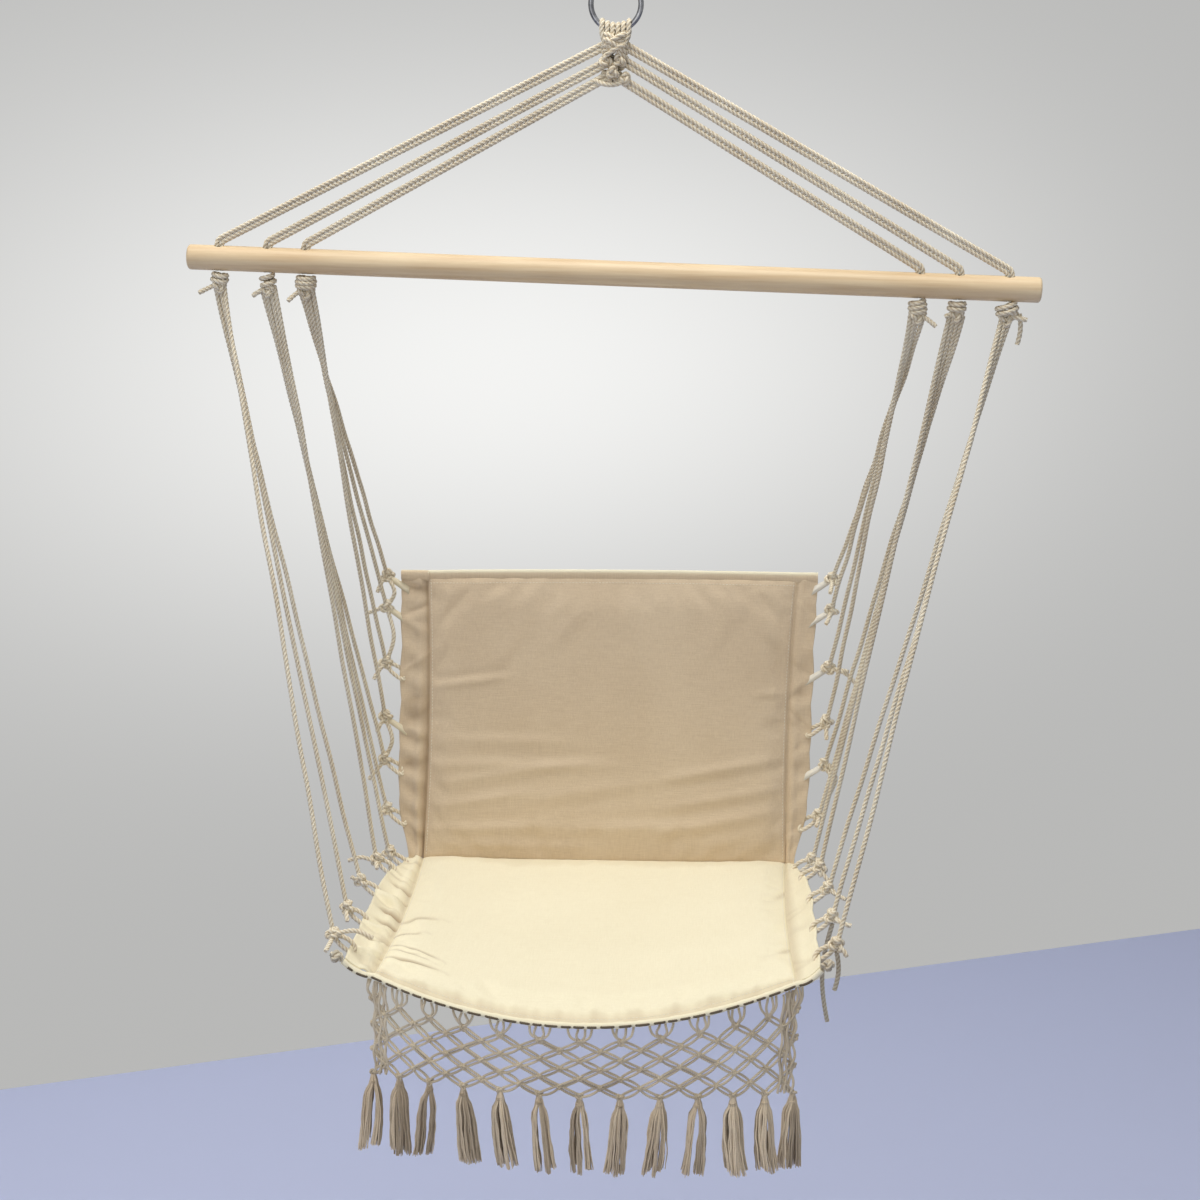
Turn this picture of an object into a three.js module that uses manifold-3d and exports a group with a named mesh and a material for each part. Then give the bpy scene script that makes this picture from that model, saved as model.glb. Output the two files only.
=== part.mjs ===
// A hanging chair of cotton cord and canvas. A steel ring carries knotted cords, the cords carry a
// wooden spreader bar, and more cords carry a padded seat and back with a netted, tasselled fringe.
// Lengths are in millimetres. X runs along the bar, the sitter faces -Y and Z is up.
// The origin is the point inside the top of the ring where a hook bears.
import * as THREE from 'three';
import { mergeVertices } from 'three/addons/utils/BufferGeometryUtils.js';
import Module from 'manifold-3d';

const wasm = await Module();
wasm.setup();

// Fits
const gap = 0.3;
const cutOverrun = 4;

// Steel ring
const ringOuterDiameter = 60;
const ringWireDiameter = 6;
const ringWireRadius = ringWireDiameter / 2;
const ringRadius = ringOuterDiameter / 2 - ringWireRadius;
const ringCentreZ = -(ringRadius - ringWireRadius);
const ringBottomZ = ringCentreZ - ringRadius;

// Cotton cord, the same all over the chair
const cordDiameter = 5.2;
const cordRadius = cordDiameter / 2;
const cordSides = 8;
const pairPitch = cordDiameter + gap;

// Knotted head below the ring: rows of knots, each row with its own width
const loopClearance = 2;
const loopPitch = 8;
const loopCount = 3;
const headDrop = 8;
const headTopZ = ringBottomZ - headDrop;
const headRowHeight = 17.5;
const headKnotWidth = 21;
const headKnotDepth = 24;
const headKnotTurns = 3;
const headRowShiftShares = [0, 0.1, -0.12];
const headRowNames = ['upper', 'middle', 'lower'];
const headKnotsPerRow = 2;
const headKnotPitchShare = 0.8;
const headLeaveDropShare = 0.45;

// Spreader bar
const barLength = 950;
const barDiameter = 28;
const barRadius = barDiameter / 2;
const barEndRounding = 3;
const barAxisZ = -311;
const barTiltDeg = 0.75;
const ropeHoleDiameter = 12;
const ropeHoleInset = [35, 90, 133];
const ropeHoleX = ropeHoleInset.map((inset) => barLength / 2 - inset);
const ropeHoleNames = ['outer', 'middle', 'inner'];
const cordBendHeight = 5;
const cordBendSteps = 4;
const barSides = 28;

// Stopper knots under the bar, and the small knots that tie the cords to the seat
const stopperKnotDiameter = 25;
const tieKnotDiameter = 14;
const stopperKnotTurns = 3;
const stopperKnotSides = 12;
const tieKnotTurns = 2;
const stopperDrop = barRadius + gap + stopperKnotDiameter / 2;
const cordSpreadShare = 0.95;
const grooveShare = 0.12;

// Canvas strip: back panel and seat panel share one width
const padWidth = 464;
const leftFlapWidth = 34;
const rightFlapWidth = 26;
const clothThickness = 3;
const canvasTiltDeg = 1.6;
const backHeight = 360;
const backLean = 50;
const backTopZ = -708;
const backBow = 8;
const backPadThickness = 15;
const creaseZ = backTopZ - backHeight;
const creaseY = 140;
const backTopY = creaseY + backLean;
const creaseStep = 5.5;
const seatDepth = 415;
const frontMiddleY = creaseY - seatDepth;
const frontBow = 46;
const frontMiddleZ = -1088;
const frontCornerRise = 32;
const seatSag = 12;
const seatPadThickness = 30;
const padEdgeThickness = 4;
const padRollWidth = 46;
const padDrawIn = 5;
const seatFlapRise = 17;
const seatFlapRiseShare = 0.3;
const hemClearance = 0.6;
const flapFold = 4;
const flapScallop = 4;
const creaseNarrowing = 12;
const backNarrowShare = 0.24;
const seatNarrowShare = 0.42;
const hemDiameter = 9;
const frontHemDiameter = 7;
const padColumns = 14;
const padRows = 14;
const flapColumns = 2;
const flapRows = 15;

// Where the cords are tied along each side, as shares of the back's height and the seat's depth
const backTieShares = [0.03, 0.14, 0.34, 0.53, 0.68, 0.86];
const seatTieShares = [0.06, 0.22, 0.44, 0.68, 0.9];
const bundleTieCounts = [3, 4, 4];
const tieOut = 18;
const tieLift = 12;
const tapeWidth = 8;
const tapeThickness = 1.6;

// Loose tails of cord
const longTailLength = 122;
const shortTailLength = 46;
const barTailLength = 34;
const tailSwayShare = 0.07;

// Netted fringe
const netCells = 12;
const netHalfRows = 6;
const netSideReach = 1;
const netHalfWidth = padWidth / 2 + netSideReach;
const netNominalDrop = 78;
const netBottomZ = -1172;
const netSideDrop = 8;
const netCordWidth = 4.6;
const netThickness = 4.4;
const netKnotShare = 0.24;
const netLoopShare = 0.2;
const netLoopReachShare = 0.27;
const netGatherDeg = 50;
const cornerKnotDiameter = 17;

// Tassels
const tasselLength = 95;
const tasselWidth = 26;
const tasselHeadDiameter = 10;
const tasselSides = 8;
const tasselHeadHeightShares = [0, 0.05, 0.11, 0.16];
const tasselHeadWidthShares = [0.5, 1, 0.9, 0.6];
const tasselSkirtHeightShares = [0.24, 0.5, 0.85, 1];
const tasselSkirtWidthShares = [0.5, 0.8, 1, 0.92];

// Finishes
const steel = new THREE.MeshStandardMaterial({ color: 0x4b4d50, roughness: 0.3, metalness: 1 });
const cotton = new THREE.MeshStandardMaterial({ color: 0xcbbda2, roughness: 0.9, metalness: 0 });
const wood = new THREE.MeshStandardMaterial({ color: 0xd9b98c, roughness: 0.6, metalness: 0 });
const canvas = new THREE.MeshStandardMaterial({ color: 0xe3d0aa, roughness: 0.9, metalness: 0 });
const yarn = new THREE.MeshStandardMaterial({ color: 0xa8987f, roughness: 0.95, metalness: 0 });

const chair = new THREE.Group();
const vector = (x, y, z) => new THREE.Vector3(x, y, z);
const parabola = (share) => 1 - share * share;

function addNode(name, geometry, material) {
  const mesh = new THREE.Mesh(geometry, material);
  mesh.name = name;
  chair.add(mesh);
  return mesh;
}

// Turns a closed geometry into a solid that can be joined and cut, and back again.
function solidOf(geometry) {
  const bare = geometry.clone();
  bare.deleteAttribute('normal');
  bare.deleteAttribute('uv');
  const merged = mergeVertices(bare);
  const vertProperties = new Float32Array(merged.attributes.position.array);
  const triVerts = new Uint32Array(merged.index.array);
  return new wasm.Manifold(new wasm.Mesh({ numProp: 3, vertProperties, triVerts }));
}

function geometryOf(solid) {
  const mesh = solid.getMesh();
  const geometry = new THREE.BufferGeometry();
  geometry.setAttribute('position', new THREE.BufferAttribute(mesh.vertProperties, 3));
  geometry.setIndex(new THREE.BufferAttribute(mesh.triVerts, 1));
  geometry.computeVertexNormals();
  return geometry;
}

const joined = (solids) => solids.reduce((whole, solid) => whole.add(solid));

// A route with one ring of the tube at each of its points, so that straight runs stay cheap.
class PointRoute extends THREE.Curve {
  constructor(points) {
    super();
    this.points = points;
  }

  getPoint(share) {
    const place = share * (this.points.length - 1);
    const before = Math.min(Math.floor(place), this.points.length - 2);
    return this.points[before].clone().lerp(this.points[before + 1], place - before);
  }

  getPointAt(share) {
    return this.getPoint(share);
  }

  getTangentAt(share) {
    const last = this.points.length - 1;
    const here = Math.round(share * last);
    const before = this.points[Math.max(here - 1, 0)];
    const after = this.points[Math.min(here + 1, last)];
    return after.clone().sub(before).normalize();
  }
}

function tube(points, radius, sides = cordSides) {
  const section = new THREE.Shape();
  for (let side = 0; side < sides; side += 1) {
    const angle = (2 * Math.PI * side) / sides;
    const place = [radius * Math.cos(angle), radius * Math.sin(angle)];
    if (side === 0) section.moveTo(...place);
    else section.lineTo(...place);
  }
  section.closePath();
  const extrudePath = new PointRoute(points);
  return new THREE.ExtrudeGeometry(section, { steps: points.length - 1, extrudePath });
}

// A knot drawn up tight: a ball whose turns of cord show as ridges.
// Its ridges lie on one sphere, so it can roll in its seat without touching it.
function ballKnot(diameter, turns, sides = 8) {
  const rings = turns * 3;
  const profile = [];
  for (let ring = 0; ring <= rings; ring += 1) {
    const angle = (Math.PI * ring) / rings;
    const groove = Math.sin(turns * angle) ** 2;
    const radius = (diameter / 2) * (1 - grooveShare * groove);
    profile.push(new THREE.Vector2(radius * Math.sin(angle), -radius * Math.cos(angle)));
  }
  profile[0].x = 0;
  profile[rings].x = 0;
  const geometry = new THREE.LatheGeometry(profile, sides);
  geometry.rotateX(Math.PI / 2);
  return geometry;
}

function ballKnotAt(place, diameter, turns, sides) {
  return ballKnot(diameter, turns, sides).translate(place.x, place.y, place.z);
}

// Steel ring, upright in the XZ plane
function ring() {
  const geometry = new THREE.TorusGeometry(ringRadius, ringWireRadius, 8, 28);
  geometry.rotateX(Math.PI / 2);
  geometry.translate(0, 0, ringCentreZ);
  return geometry;
}

// One loop of cord over the wire of the ring, open below, where its two legs go into the knots
function ringLoop(x, clearance) {
  const loopRadius = ringWireRadius + clearance + cordRadius;
  const lift = ringRadius - Math.sqrt(ringRadius ** 2 - x ** 2);
  const legEndZ = headTopZ - headRowHeight / 2;
  const points = [vector(x, -loopRadius, legEndZ)];
  const steps = 6;
  for (let step = 0; step <= steps; step += 1) {
    const angle = (Math.PI * step) / steps;
    const y = -loopRadius * Math.cos(angle);
    points.push(vector(x, y, ringBottomZ + lift + loopRadius * Math.sin(angle)));
  }
  points.push(vector(x, loopRadius, legEndZ));
  return tube(points, cordRadius);
}

// A row of knots side by side in the head, drawn flat front to back
function headRow(row, grow) {
  const shift = headRowShiftShares[row] * headKnotWidth;
  const centreZ = headTopZ - headRowHeight * (row + 0.5) - gap * row;
  const knots = [];
  for (let column = 0; column < headKnotsPerRow; column += 1) {
    const knot = ballKnot(1, headKnotTurns);
    const pitch = headKnotWidth * headKnotPitchShare;
    const x = shift + pitch * (column - (headKnotsPerRow - 1) / 2);
    knot.scale(headKnotWidth + grow, headKnotDepth + grow, headRowHeight + grow);
    knot.translate(x, 0, centreZ);
    knots.push(solidOf(knot));
  }
  return { solid: joined(knots), centreZ, shift };
}

function headLoopsWithRow() {
  const loops = [];
  for (let loop = 0; loop < loopCount; loop += 1) {
    const place = loop - (loopCount - 1) / 2;
    const clearance = place === 0 ? gap : loopClearance;
    loops.push(solidOf(ringLoop(place * loopPitch, clearance)));
  }
  return joined([headRow(0, 0).solid, ...loops]);
}

// Places on the spreader bar, which hangs a little lower at its right end
const barTilt = THREE.MathUtils.degToRad(barTiltDeg);
const alongBar = vector(Math.cos(barTilt), 0, -Math.sin(barTilt));
const upFromBar = vector(Math.sin(barTilt), 0, Math.cos(barTilt));
function onBar(x, up) {
  const place = vector(0, 0, barAxisZ);
  return place.addScaledVector(alongBar, x).addScaledVector(upFromBar, up);
}

function spreaderBar() {
  const half = barLength / 2;
  const profile = [vector(0, -half, 0)];
  const roundingSteps = 2;
  for (let step = 0; step <= roundingSteps; step += 1) {
    const angle = (Math.PI / 2) * (step / roundingSteps);
    const radius = barRadius - barEndRounding * (1 - Math.sin(angle));
    profile.push(vector(radius, -half + barEndRounding * (1 - Math.cos(angle)), 0));
  }
  const mirrored = profile.map((point) => vector(point.x, -point.y, 0)).reverse();
  const outline = [...profile, ...mirrored].map((point) => new THREE.Vector2(point.x, point.y));
  const rod = new THREE.LatheGeometry(outline, barSides);
  rod.rotateZ(-Math.PI / 2);
  let solid = solidOf(rod);
  for (const side of [-1, 1]) {
    for (const x of ropeHoleX) {
      const hole = new THREE.CylinderGeometry(
        ropeHoleDiameter / 2, ropeHoleDiameter / 2, barDiameter + cutOverrun, 12,
      );
      hole.rotateX(Math.PI / 2);
      hole.translate(side * x, 0, 0);
      solid = solid.subtract(solidOf(hole));
    }
  }
  const geometry = geometryOf(solid);
  geometry.rotateY(barTilt);
  geometry.translate(0, 0, barAxisZ);
  return geometry;
}

// One cord of a pair, from a row of the head down to the bar, over the rim of its hole and through it.
// The pair lies side by side in the hole, and stays a pitch apart round the bend and up to the head.
function upperCord(side, hole, strand) {
  const { centreZ, shift } = headRow(hole, 0);
  const offset = (strand - 0.5) * pairPitch;
  const headX = shift + side * (headKnotWidth / 2);
  const head = vector(headX, 0, centreZ - headRowHeight * (headLeaveDropShare - 0.5));
  const corner = onBar(side * ropeHoleX[hole], barRadius + cordBendHeight);
  const away = head.clone().sub(corner).normalize();
  const across = vector(-side * away.z, 0, side * away.x).negate();
  const slide = (side * offset - across.x * offset) / away.x;
  const strandHead = head.clone().addScaledVector(across, offset);
  const strandCorner = corner.clone().addScaledVector(across, offset).addScaledVector(away, slide);
  const holeX = side * (ropeHoleX[hole] + offset);
  const low = onBar(holeX, -barRadius);
  const rim = onBar(holeX, barRadius);
  const leave = strandCorner.clone().addScaledVector(away, strandCorner.distanceTo(rim));
  const bend = new THREE.QuadraticBezierCurve3(rim, strandCorner, leave).getPoints(cordBendSteps);
  const cord = solidOf(tube([low, ...bend, strandHead], cordRadius));
  return cord.subtract(headRow(hole, 2 * gap).solid);
}

// The canvas strip. Each point has a share across, from -1 to 1, and a share along its panel.
const canvasSlope = Math.tan(THREE.MathUtils.degToRad(canvasTiltDeg));
const halfPad = padWidth / 2;
const flapReach = (side) => halfPad + (side < 0 ? leftFlapWidth : rightFlapWidth);
const frontY = (across) => frontMiddleY + frontBow * (1 - parabola(across));
const frontZ = (across) => frontMiddleZ + frontCornerRise * (1 - parabola(across));

function backPoint(x, along, out) {
  const across = x / halfPad;
  const bow = backBow * Math.max(parabola(across), 0) * (1 - along);
  const y = THREE.MathUtils.lerp(backTopY, creaseY, along) + bow - out;
  return vector(x, y, THREE.MathUtils.lerp(backTopZ, creaseZ, along) + canvasSlope * x);
}

function seatPoint(x, along, out) {
  const across = THREE.MathUtils.clamp(x / halfPad, -1, 1);
  const y = THREE.MathUtils.lerp(creaseY, frontY(across), along);
  const level = THREE.MathUtils.lerp(creaseZ, frontZ(across), along);
  const sag = seatSag * parabola(across) * Math.sin(Math.PI * along);
  return vector(x, y, level - sag + canvasSlope * x + out);
}

// Half the width of a pad at a share along it: its sides are drawn in between the corners
function padHalfWidth(along) {
  return halfPad - padDrawIn * parabola(2 * along - 1);
}

// A closed slab between two faces, given the point for each share across, along and on each face
function slab(pointAt, columns, rows) {
  const positions = [];
  const stride = columns + 1;
  for (const face of [1, -1]) {
    for (let row = 0; row <= rows; row += 1) {
      for (let column = 0; column <= columns; column += 1) {
        positions.push(...pointAt((2 * column) / columns - 1, row / rows, face).toArray());
      }
    }
  }
  const at = (column, row, face) => row * stride + column + (face > 0 ? 0 : stride * (rows + 1));
  const index = [];
  const quad = (a, b, c, d) => index.push(a, b, c, a, c, d);
  for (let row = 0; row < rows; row += 1) {
    for (let column = 0; column < columns; column += 1) {
      const next = column + 1;
      quad(at(column, row, 1), at(column, row + 1, 1), at(next, row + 1, 1), at(next, row, 1));
      quad(at(column, row, -1), at(next, row, -1), at(next, row + 1, -1), at(column, row + 1, -1));
    }
    quad(at(0, row, 1), at(0, row, -1), at(0, row + 1, -1), at(0, row + 1, 1));
    quad(at(columns, row, -1), at(columns, row, 1), at(columns, row + 1, 1), at(columns, row + 1, -1));
  }
  for (let column = 0; column < columns; column += 1) {
    quad(at(column, 0, -1), at(column, 0, 1), at(column + 1, 0, 1), at(column + 1, 0, -1));
    quad(at(column, rows, 1), at(column, rows, -1), at(column + 1, rows, -1), at(column + 1, rows, 1));
  }
  const geometry = new THREE.BufferGeometry();
  geometry.setAttribute('position', new THREE.Float32BufferAttribute(positions, 3));
  geometry.setIndex(index);
  geometry.computeVertexNormals();
  return geometry;
}

// How full a pad is at a distance from its edge: it rolls up from the seam within one roll width
function fullness(distance) {
  const share = Math.min(distance / padRollWidth, 1);
  return Math.sqrt(1 - (1 - share) ** 2);
}

function padGeometry(surface, thickness, lengthOfPanel, startShare, endShare) {
  const swell = (thickness - padEdgeThickness) / 2;
  return slab((across, share, face) => {
    const eased = 0.5 - 0.5 * Math.cos(Math.PI * share);
    const spread = Math.sin((Math.PI / 2) * across);
    const along = THREE.MathUtils.lerp(startShare, endShare, eased);
    const x = spread * padHalfWidth(along);
    const edgeAcross = (1 - Math.abs(spread)) * halfPad;
    const edgeAlong = Math.min(along - startShare, endShare - along) * lengthOfPanel;
    const full = fullness(edgeAcross) * fullness(edgeAlong);
    const out = face * (padEdgeThickness / 2 + swell * full);
    return surface(x, along, out);
  }, padColumns, padRows);
}

function backPad() {
  return padGeometry(backPoint, backPadThickness, backHeight, 0, 1 - creaseStep / backHeight);
}

function seatPad() {
  return padGeometry(seatPoint, seatPadThickness, seatDepth, 0, 1);
}

// How far the flap's free edge is drawn in between two ties: none at a tie, all half way
function scallopAt(along, shares) {
  const nearest = Math.min(...shares.map((share) => Math.abs(share - along)));
  const spacing = 1 / shares.length;
  return Math.sin(Math.min(nearest / spacing, 1) * (Math.PI / 2)) ** 2;
}

// How much of its rise the seat's flap has: none at the crease, where it lies under the back
function riseAt(along) {
  return Math.sin(Math.min(along / seatFlapRiseShare, 1) * (Math.PI / 2)) ** 2;
}

// How far a flap's edge is drawn in at a share of its panel away from the crease: most at the crease
function narrowingAt(share, narrowShare) {
  return creaseNarrowing * Math.cos(Math.min(share / narrowShare, 1) * (Math.PI / 2)) ** 2;
}

// Outer edges of the side flaps at a share along each panel, before the canvas thickness
function backFlapEdgeX(side, along) {
  const narrowing = narrowingAt(1 - along, backNarrowShare);
  return flapReach(side) - narrowing - flapScallop * scallopAt(along, backTieShares);
}

function seatFlapEdgeX(side, along) {
  const narrowing = narrowingAt(along, seatNarrowShare);
  return flapReach(side) - narrowing - flapScallop * scallopAt(along, seatTieShares);
}

function sideFlap(surface, side, edgeX, shares, rise, endShare) {
  return slab((across, share, face) => {
    const along = endShare * share;
    const outward = (1 + side * across) / 2;
    const inner = padHalfWidth(along) + gap;
    const x = THREE.MathUtils.lerp(inner, edgeX(side, along), outward);
    const fold = flapFold * scallopAt(along, shares) * outward;
    const lift = (rise * outward ** 2 + fold) * (rise > 0 ? riseAt(along) : 1);
    return surface(side * x, along, (face * clothThickness) / 2 + lift);
  }, flapColumns, flapRows);
}

function backTieEdge(side, along) {
  return backPoint(side * backFlapEdgeX(side, along), along, 0);
}

function seatTieEdge(side, along) {
  return seatPoint(side * seatFlapEdgeX(side, along), along, seatFlapRise * riseAt(along));
}

// All ties of one side, from the top of the back to the front corner of the seat
function tiesOf(side) {
  const edges = [
    ...backTieShares.map((along) => backTieEdge(side, along)),
    ...seatTieShares.map((along) => seatTieEdge(side, along)),
  ];
  return edges.map((edge) => ({ edge, knot: edge.clone().add(vector(side * tieOut, 0, tieLift)) }));
}

// A tape sewn to the flap, reaching out to the knot that it is tied with
function tape({ edge, knot }) {
  const reach = knot.clone().sub(edge);
  const strip = new THREE.BoxGeometry(reach.length() + flapScallop, tapeWidth, tapeThickness);
  strip.translate((reach.length() - flapScallop) / 2, 0, 0);
  const turn = new THREE.Quaternion().setFromUnitVectors(vector(1, 0, 0), reach.clone().normalize());
  strip.applyQuaternion(turn);
  strip.translate(edge.x, edge.y, edge.z);
  return solidOf(strip).subtract(solidOf(ballKnotAt(knot, tieKnotDiameter + 2 * gap, tieKnotTurns)));
}

function flapWithTapes(ties, ...flapShape) {
  const flap = solidOf(sideFlap(...flapShape));
  return geometryOf(joined([flap, ...ties.map(tape)]));
}

// The outer bundle holds the last ties of a side, the middle one those before, the inner the first
function tiesOfBundle(side, hole) {
  const ties = tiesOf(side);
  const last = bundleTieCounts.slice(0, hole).reduce((left, count) => left - count, ties.length);
  return ties.slice(last - bundleTieCounts[hole], last);
}

// A stopper knot under the bar and the cords that fan out from it to their ties
function cordBundle(side, hole) {
  const centre = onBar(side * ropeHoleX[hole], -stopperDrop);
  const ties = tiesOfBundle(side, hole);
  const solids = [solidOf(ballKnotAt(centre, stopperKnotDiameter, stopperKnotTurns, stopperKnotSides))];
  ties.forEach(({ knot }, strand) => {
    const spread = (strand - (ties.length - 1) / 2) * cordDiameter * cordSpreadShare;
    const start = centre.clone().add(vector(-side * spread, 0, -cordDiameter));
    solids.push(solidOf(tube([start, knot], cordRadius)));
    solids.push(solidOf(ballKnotAt(knot, tieKnotDiameter, tieKnotTurns)));
  });
  return geometryOf(joined(solids));
}

// A loose end of cord hanging from below a knot, with a slight sway
function tail(knot, knotDiameter, length, sway) {
  const top = knot.clone().add(vector(0, 0, -(knotDiameter / 2 + gap)));
  const points = [];
  const steps = 6;
  for (let step = 0; step <= steps; step += 1) {
    const share = step / steps;
    const x = sway * tailSwayShare * length * Math.sin(Math.PI * share);
    points.push(top.clone().add(vector(x, 0, -length * share)));
  }
  return tube(points, cordRadius);
}

// Rolled hem along the top of the back, just above the pad
function topHem() {
  const points = [];
  const steps = 14;
  for (let step = 0; step <= steps; step += 1) {
    const place = backPoint(THREE.MathUtils.lerp(-flapReach(-1), flapReach(1), step / steps), 0, 0);
    points.push(place.add(vector(0, 0, hemDiameter / 2 + gap)));
  }
  return tube(points, hemDiameter / 2);
}

// The line along the front edge of the seat that the hem and the net follow
function frontLine(x) {
  const place = seatPoint(x, 1, 0);
  const beyond = Math.max(Math.abs(x) - halfPad, 0) / (flapReach(Math.sign(x)) - halfPad);
  place.z += seatFlapRise * beyond ** 2;
  const slope = (2 * frontBow * THREE.MathUtils.clamp(x / halfPad, -1, 1)) / halfPad;
  place.y -= (frontHemDiameter / 2 + hemClearance) * Math.hypot(1, slope);
  return place;
}

function frontHem() {
  const points = [];
  const steps = 16;
  for (let step = 0; step <= steps; step += 1) {
    points.push(frontLine(THREE.MathUtils.lerp(-flapReach(-1), flapReach(1), step / steps)));
  }
  return tube(points, frontHemDiameter / 2);
}

// Places in the net: the share across runs from -1 to 1, and the drop from 0 at the hem to 1
const gatherAngle = THREE.MathUtils.degToRad(netGatherDeg);
function netPoint(across, drop, out) {
  const x = netHalfWidth * (Math.sin(gatherAngle * across) / Math.sin(gatherAngle));
  const top = frontLine(x);
  const topZ = top.z - frontHemDiameter / 2 - gap;
  const bottomZ = netBottomZ - netSideDrop * across ** 2;
  return vector(x, top.y - out, THREE.MathUtils.lerp(topZ, bottomZ, drop));
}

// Leaves out repeated points and points on a straight run, which a triangulated face would skip
function cornersOnly(points) {
  const distinct = points.filter((point, place) => {
    const before = points[(place + points.length - 1) % points.length];
    return point.distanceTo(before) > gap;
  });
  return distinct.filter((point, place) => {
    const before = distinct[(place + distinct.length - 1) % distinct.length];
    const after = distinct[(place + 1) % distinct.length];
    const turn = point.clone().sub(before).cross(after.clone().sub(point));
    return Math.abs(turn) > gap * gap;
  });
}

// One opening of the net, a diamond whose corners are cut off by the knots at its four crossings
function netOpening(centreX, centreY, halfWidth, halfHeight, sideLimit) {
  const shrink = 1 - (netCordWidth / 2) * Math.hypot(1 / halfWidth, 1 / halfHeight);
  const arms = [[1, 0], [0, 1], [-1, 0], [0, -1]];
  const corners = arms.flatMap(([armX, armY], arm) => [arms[(arm + 3) % 4], arms[(arm + 1) % 4]]
    .map(([towardX, towardY]) => {
      const x = halfWidth * shrink * (armX * (1 - netKnotShare) + towardX * netKnotShare);
      const y = halfHeight * shrink * (armY * (1 - netKnotShare) + towardY * netKnotShare);
      return new THREE.Vector2(THREE.MathUtils.clamp(centreX + x, -sideLimit, sideLimit), centreY + y);
    }));
  return new THREE.Path(cornersOnly(corners));
}

// The net laid out flat, with a knot at every point of its lower edge. Along its upper edge two
// cords rise from each knot to the hem, and one wider loop rises at each side
function netOutline(cellWidth, rowHeight, right) {
  const points = [];
  const half = netCordWidth / 2;
  const loopDrop = netNominalDrop * netLoopShare;
  const reach = cellWidth * netLoopReachShare;
  for (let cell = 0; cell <= netCells; cell += 1) {
    const x = -netHalfWidth + cell * cellWidth;
    points.push([Math.max(x - half, -right), -netNominalDrop]);
    points.push([Math.min(x + half, right), -netNominalDrop]);
    if (cell < netCells) points.push([x + cellWidth / 2, rowHeight - half - netNominalDrop]);
  }
  for (let cell = netCells; cell >= 0; cell -= 1) {
    const x = -netHalfWidth + cell * cellWidth;
    if (cell < netCells) points.push([x + half, -loopDrop]);
    points.push([Math.min(x + reach, right), 0]);
    if (cell > 0 && cell < netCells) {
      points.push([x + reach - netCordWidth, 0]);
      points.push([x, netCordWidth - loopDrop]);
      points.push([x - reach + netCordWidth, 0]);
    }
    points.push([Math.max(x - reach, -right), 0]);
    if (cell > 0) points.push([x - half, -loopDrop], [x - cellWidth / 2, half - rowHeight - loopDrop]);
  }
  return new THREE.Shape(points.map(([x, y]) => new THREE.Vector2(x, y)));
}

function fringeNet() {
  const cellWidth = (2 * netHalfWidth) / netCells;
  const rowHeight = (netNominalDrop * (1 - netLoopShare)) / netHalfRows;
  const outline = netOutline(cellWidth, rowHeight, netHalfWidth + netCordWidth / 2);
  for (let row = 1; row < netHalfRows; row += 1) {
    const staggered = row % 2 === 0;
    const count = staggered ? netCells : netCells + 1;
    for (let cell = 0; cell < count; cell += 1) {
      const x = -netHalfWidth + (cell + (staggered ? 0.5 : 0)) * cellWidth;
      const y = -netNominalDrop + row * rowHeight;
      const sideLimit = netHalfWidth - netCordWidth / 2;
      outline.holes.push(netOpening(x, y, cellWidth / 2, rowHeight, sideLimit));
    }
  }
  const net = new THREE.ExtrudeGeometry(outline, { depth: netThickness, bevelEnabled: false });
  const position = net.attributes.position;
  for (let vertex = 0; vertex < position.count; vertex += 1) {
    const across = position.getX(vertex) / netHalfWidth;
    const drop = -position.getY(vertex) / netNominalDrop;
    const place = netPoint(across, drop, position.getZ(vertex) - netThickness / 2);
    position.setXYZ(vertex, place.x, place.y, place.z);
  }
  return net;
}

// A tassel hung under the net: a bound head, a waist and a skirt of yarn
function tassel(across) {
  const top = netPoint(across, 1, 0).add(vector(0, 0, -gap));
  const profile = [new THREE.Vector2(0, 0)];
  const addProfile = (width, widthShares, heightShares) => heightShares.forEach((height, step) => {
    profile.push(new THREE.Vector2((width / 2) * widthShares[step], -tasselLength * height));
  });
  addProfile(tasselHeadDiameter, tasselHeadWidthShares, tasselHeadHeightShares);
  addProfile(tasselWidth, tasselSkirtWidthShares, tasselSkirtHeightShares);
  profile.push(new THREE.Vector2(0, -tasselLength));
  const geometry = new THREE.LatheGeometry(profile.reverse(), tasselSides);
  geometry.rotateX(Math.PI / 2);
  return geometry.translate(top.x, top.y, top.z);
}

// The knot that ends the hem at a front corner of the seat
function cornerKnot(side) {
  const hemEnd = frontLine(side * flapReach(side));
  const outward = hemEnd.clone().sub(frontLine((side * (flapReach(side) + halfPad)) / 2)).normalize();
  const centre = hemEnd.addScaledVector(outward, cornerKnotDiameter / 2 + gap);
  return ballKnotAt(centre, cornerKnotDiameter, tieKnotTurns);
}

const sideName = (side) => (side < 0 ? 'left' : 'right');

addNode('hanging_ring', ring(), steel);
addNode('head_loops', geometryOf(headLoopsWithRow()), cotton);
for (let row = 1; row < headRowNames.length; row += 1) {
  addNode(`head_knots_${headRowNames[row]}`, geometryOf(headRow(row, 0).solid), cotton);
}
addNode('spreader_bar', spreaderBar(), wood);
for (const side of [-1, 1]) {
  ropeHoleNames.forEach((holeName, hole) => {
    ['a', 'b'].forEach((strandName, strand) => {
      const name = `upper_cord_${sideName(side)}_${holeName}_${strandName}`;
      addNode(name, geometryOf(upperCord(side, hole, strand)), cotton);
    });
    addNode(`cord_bundle_${sideName(side)}_${holeName}`, cordBundle(side, hole), cotton);
  });
}

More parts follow.
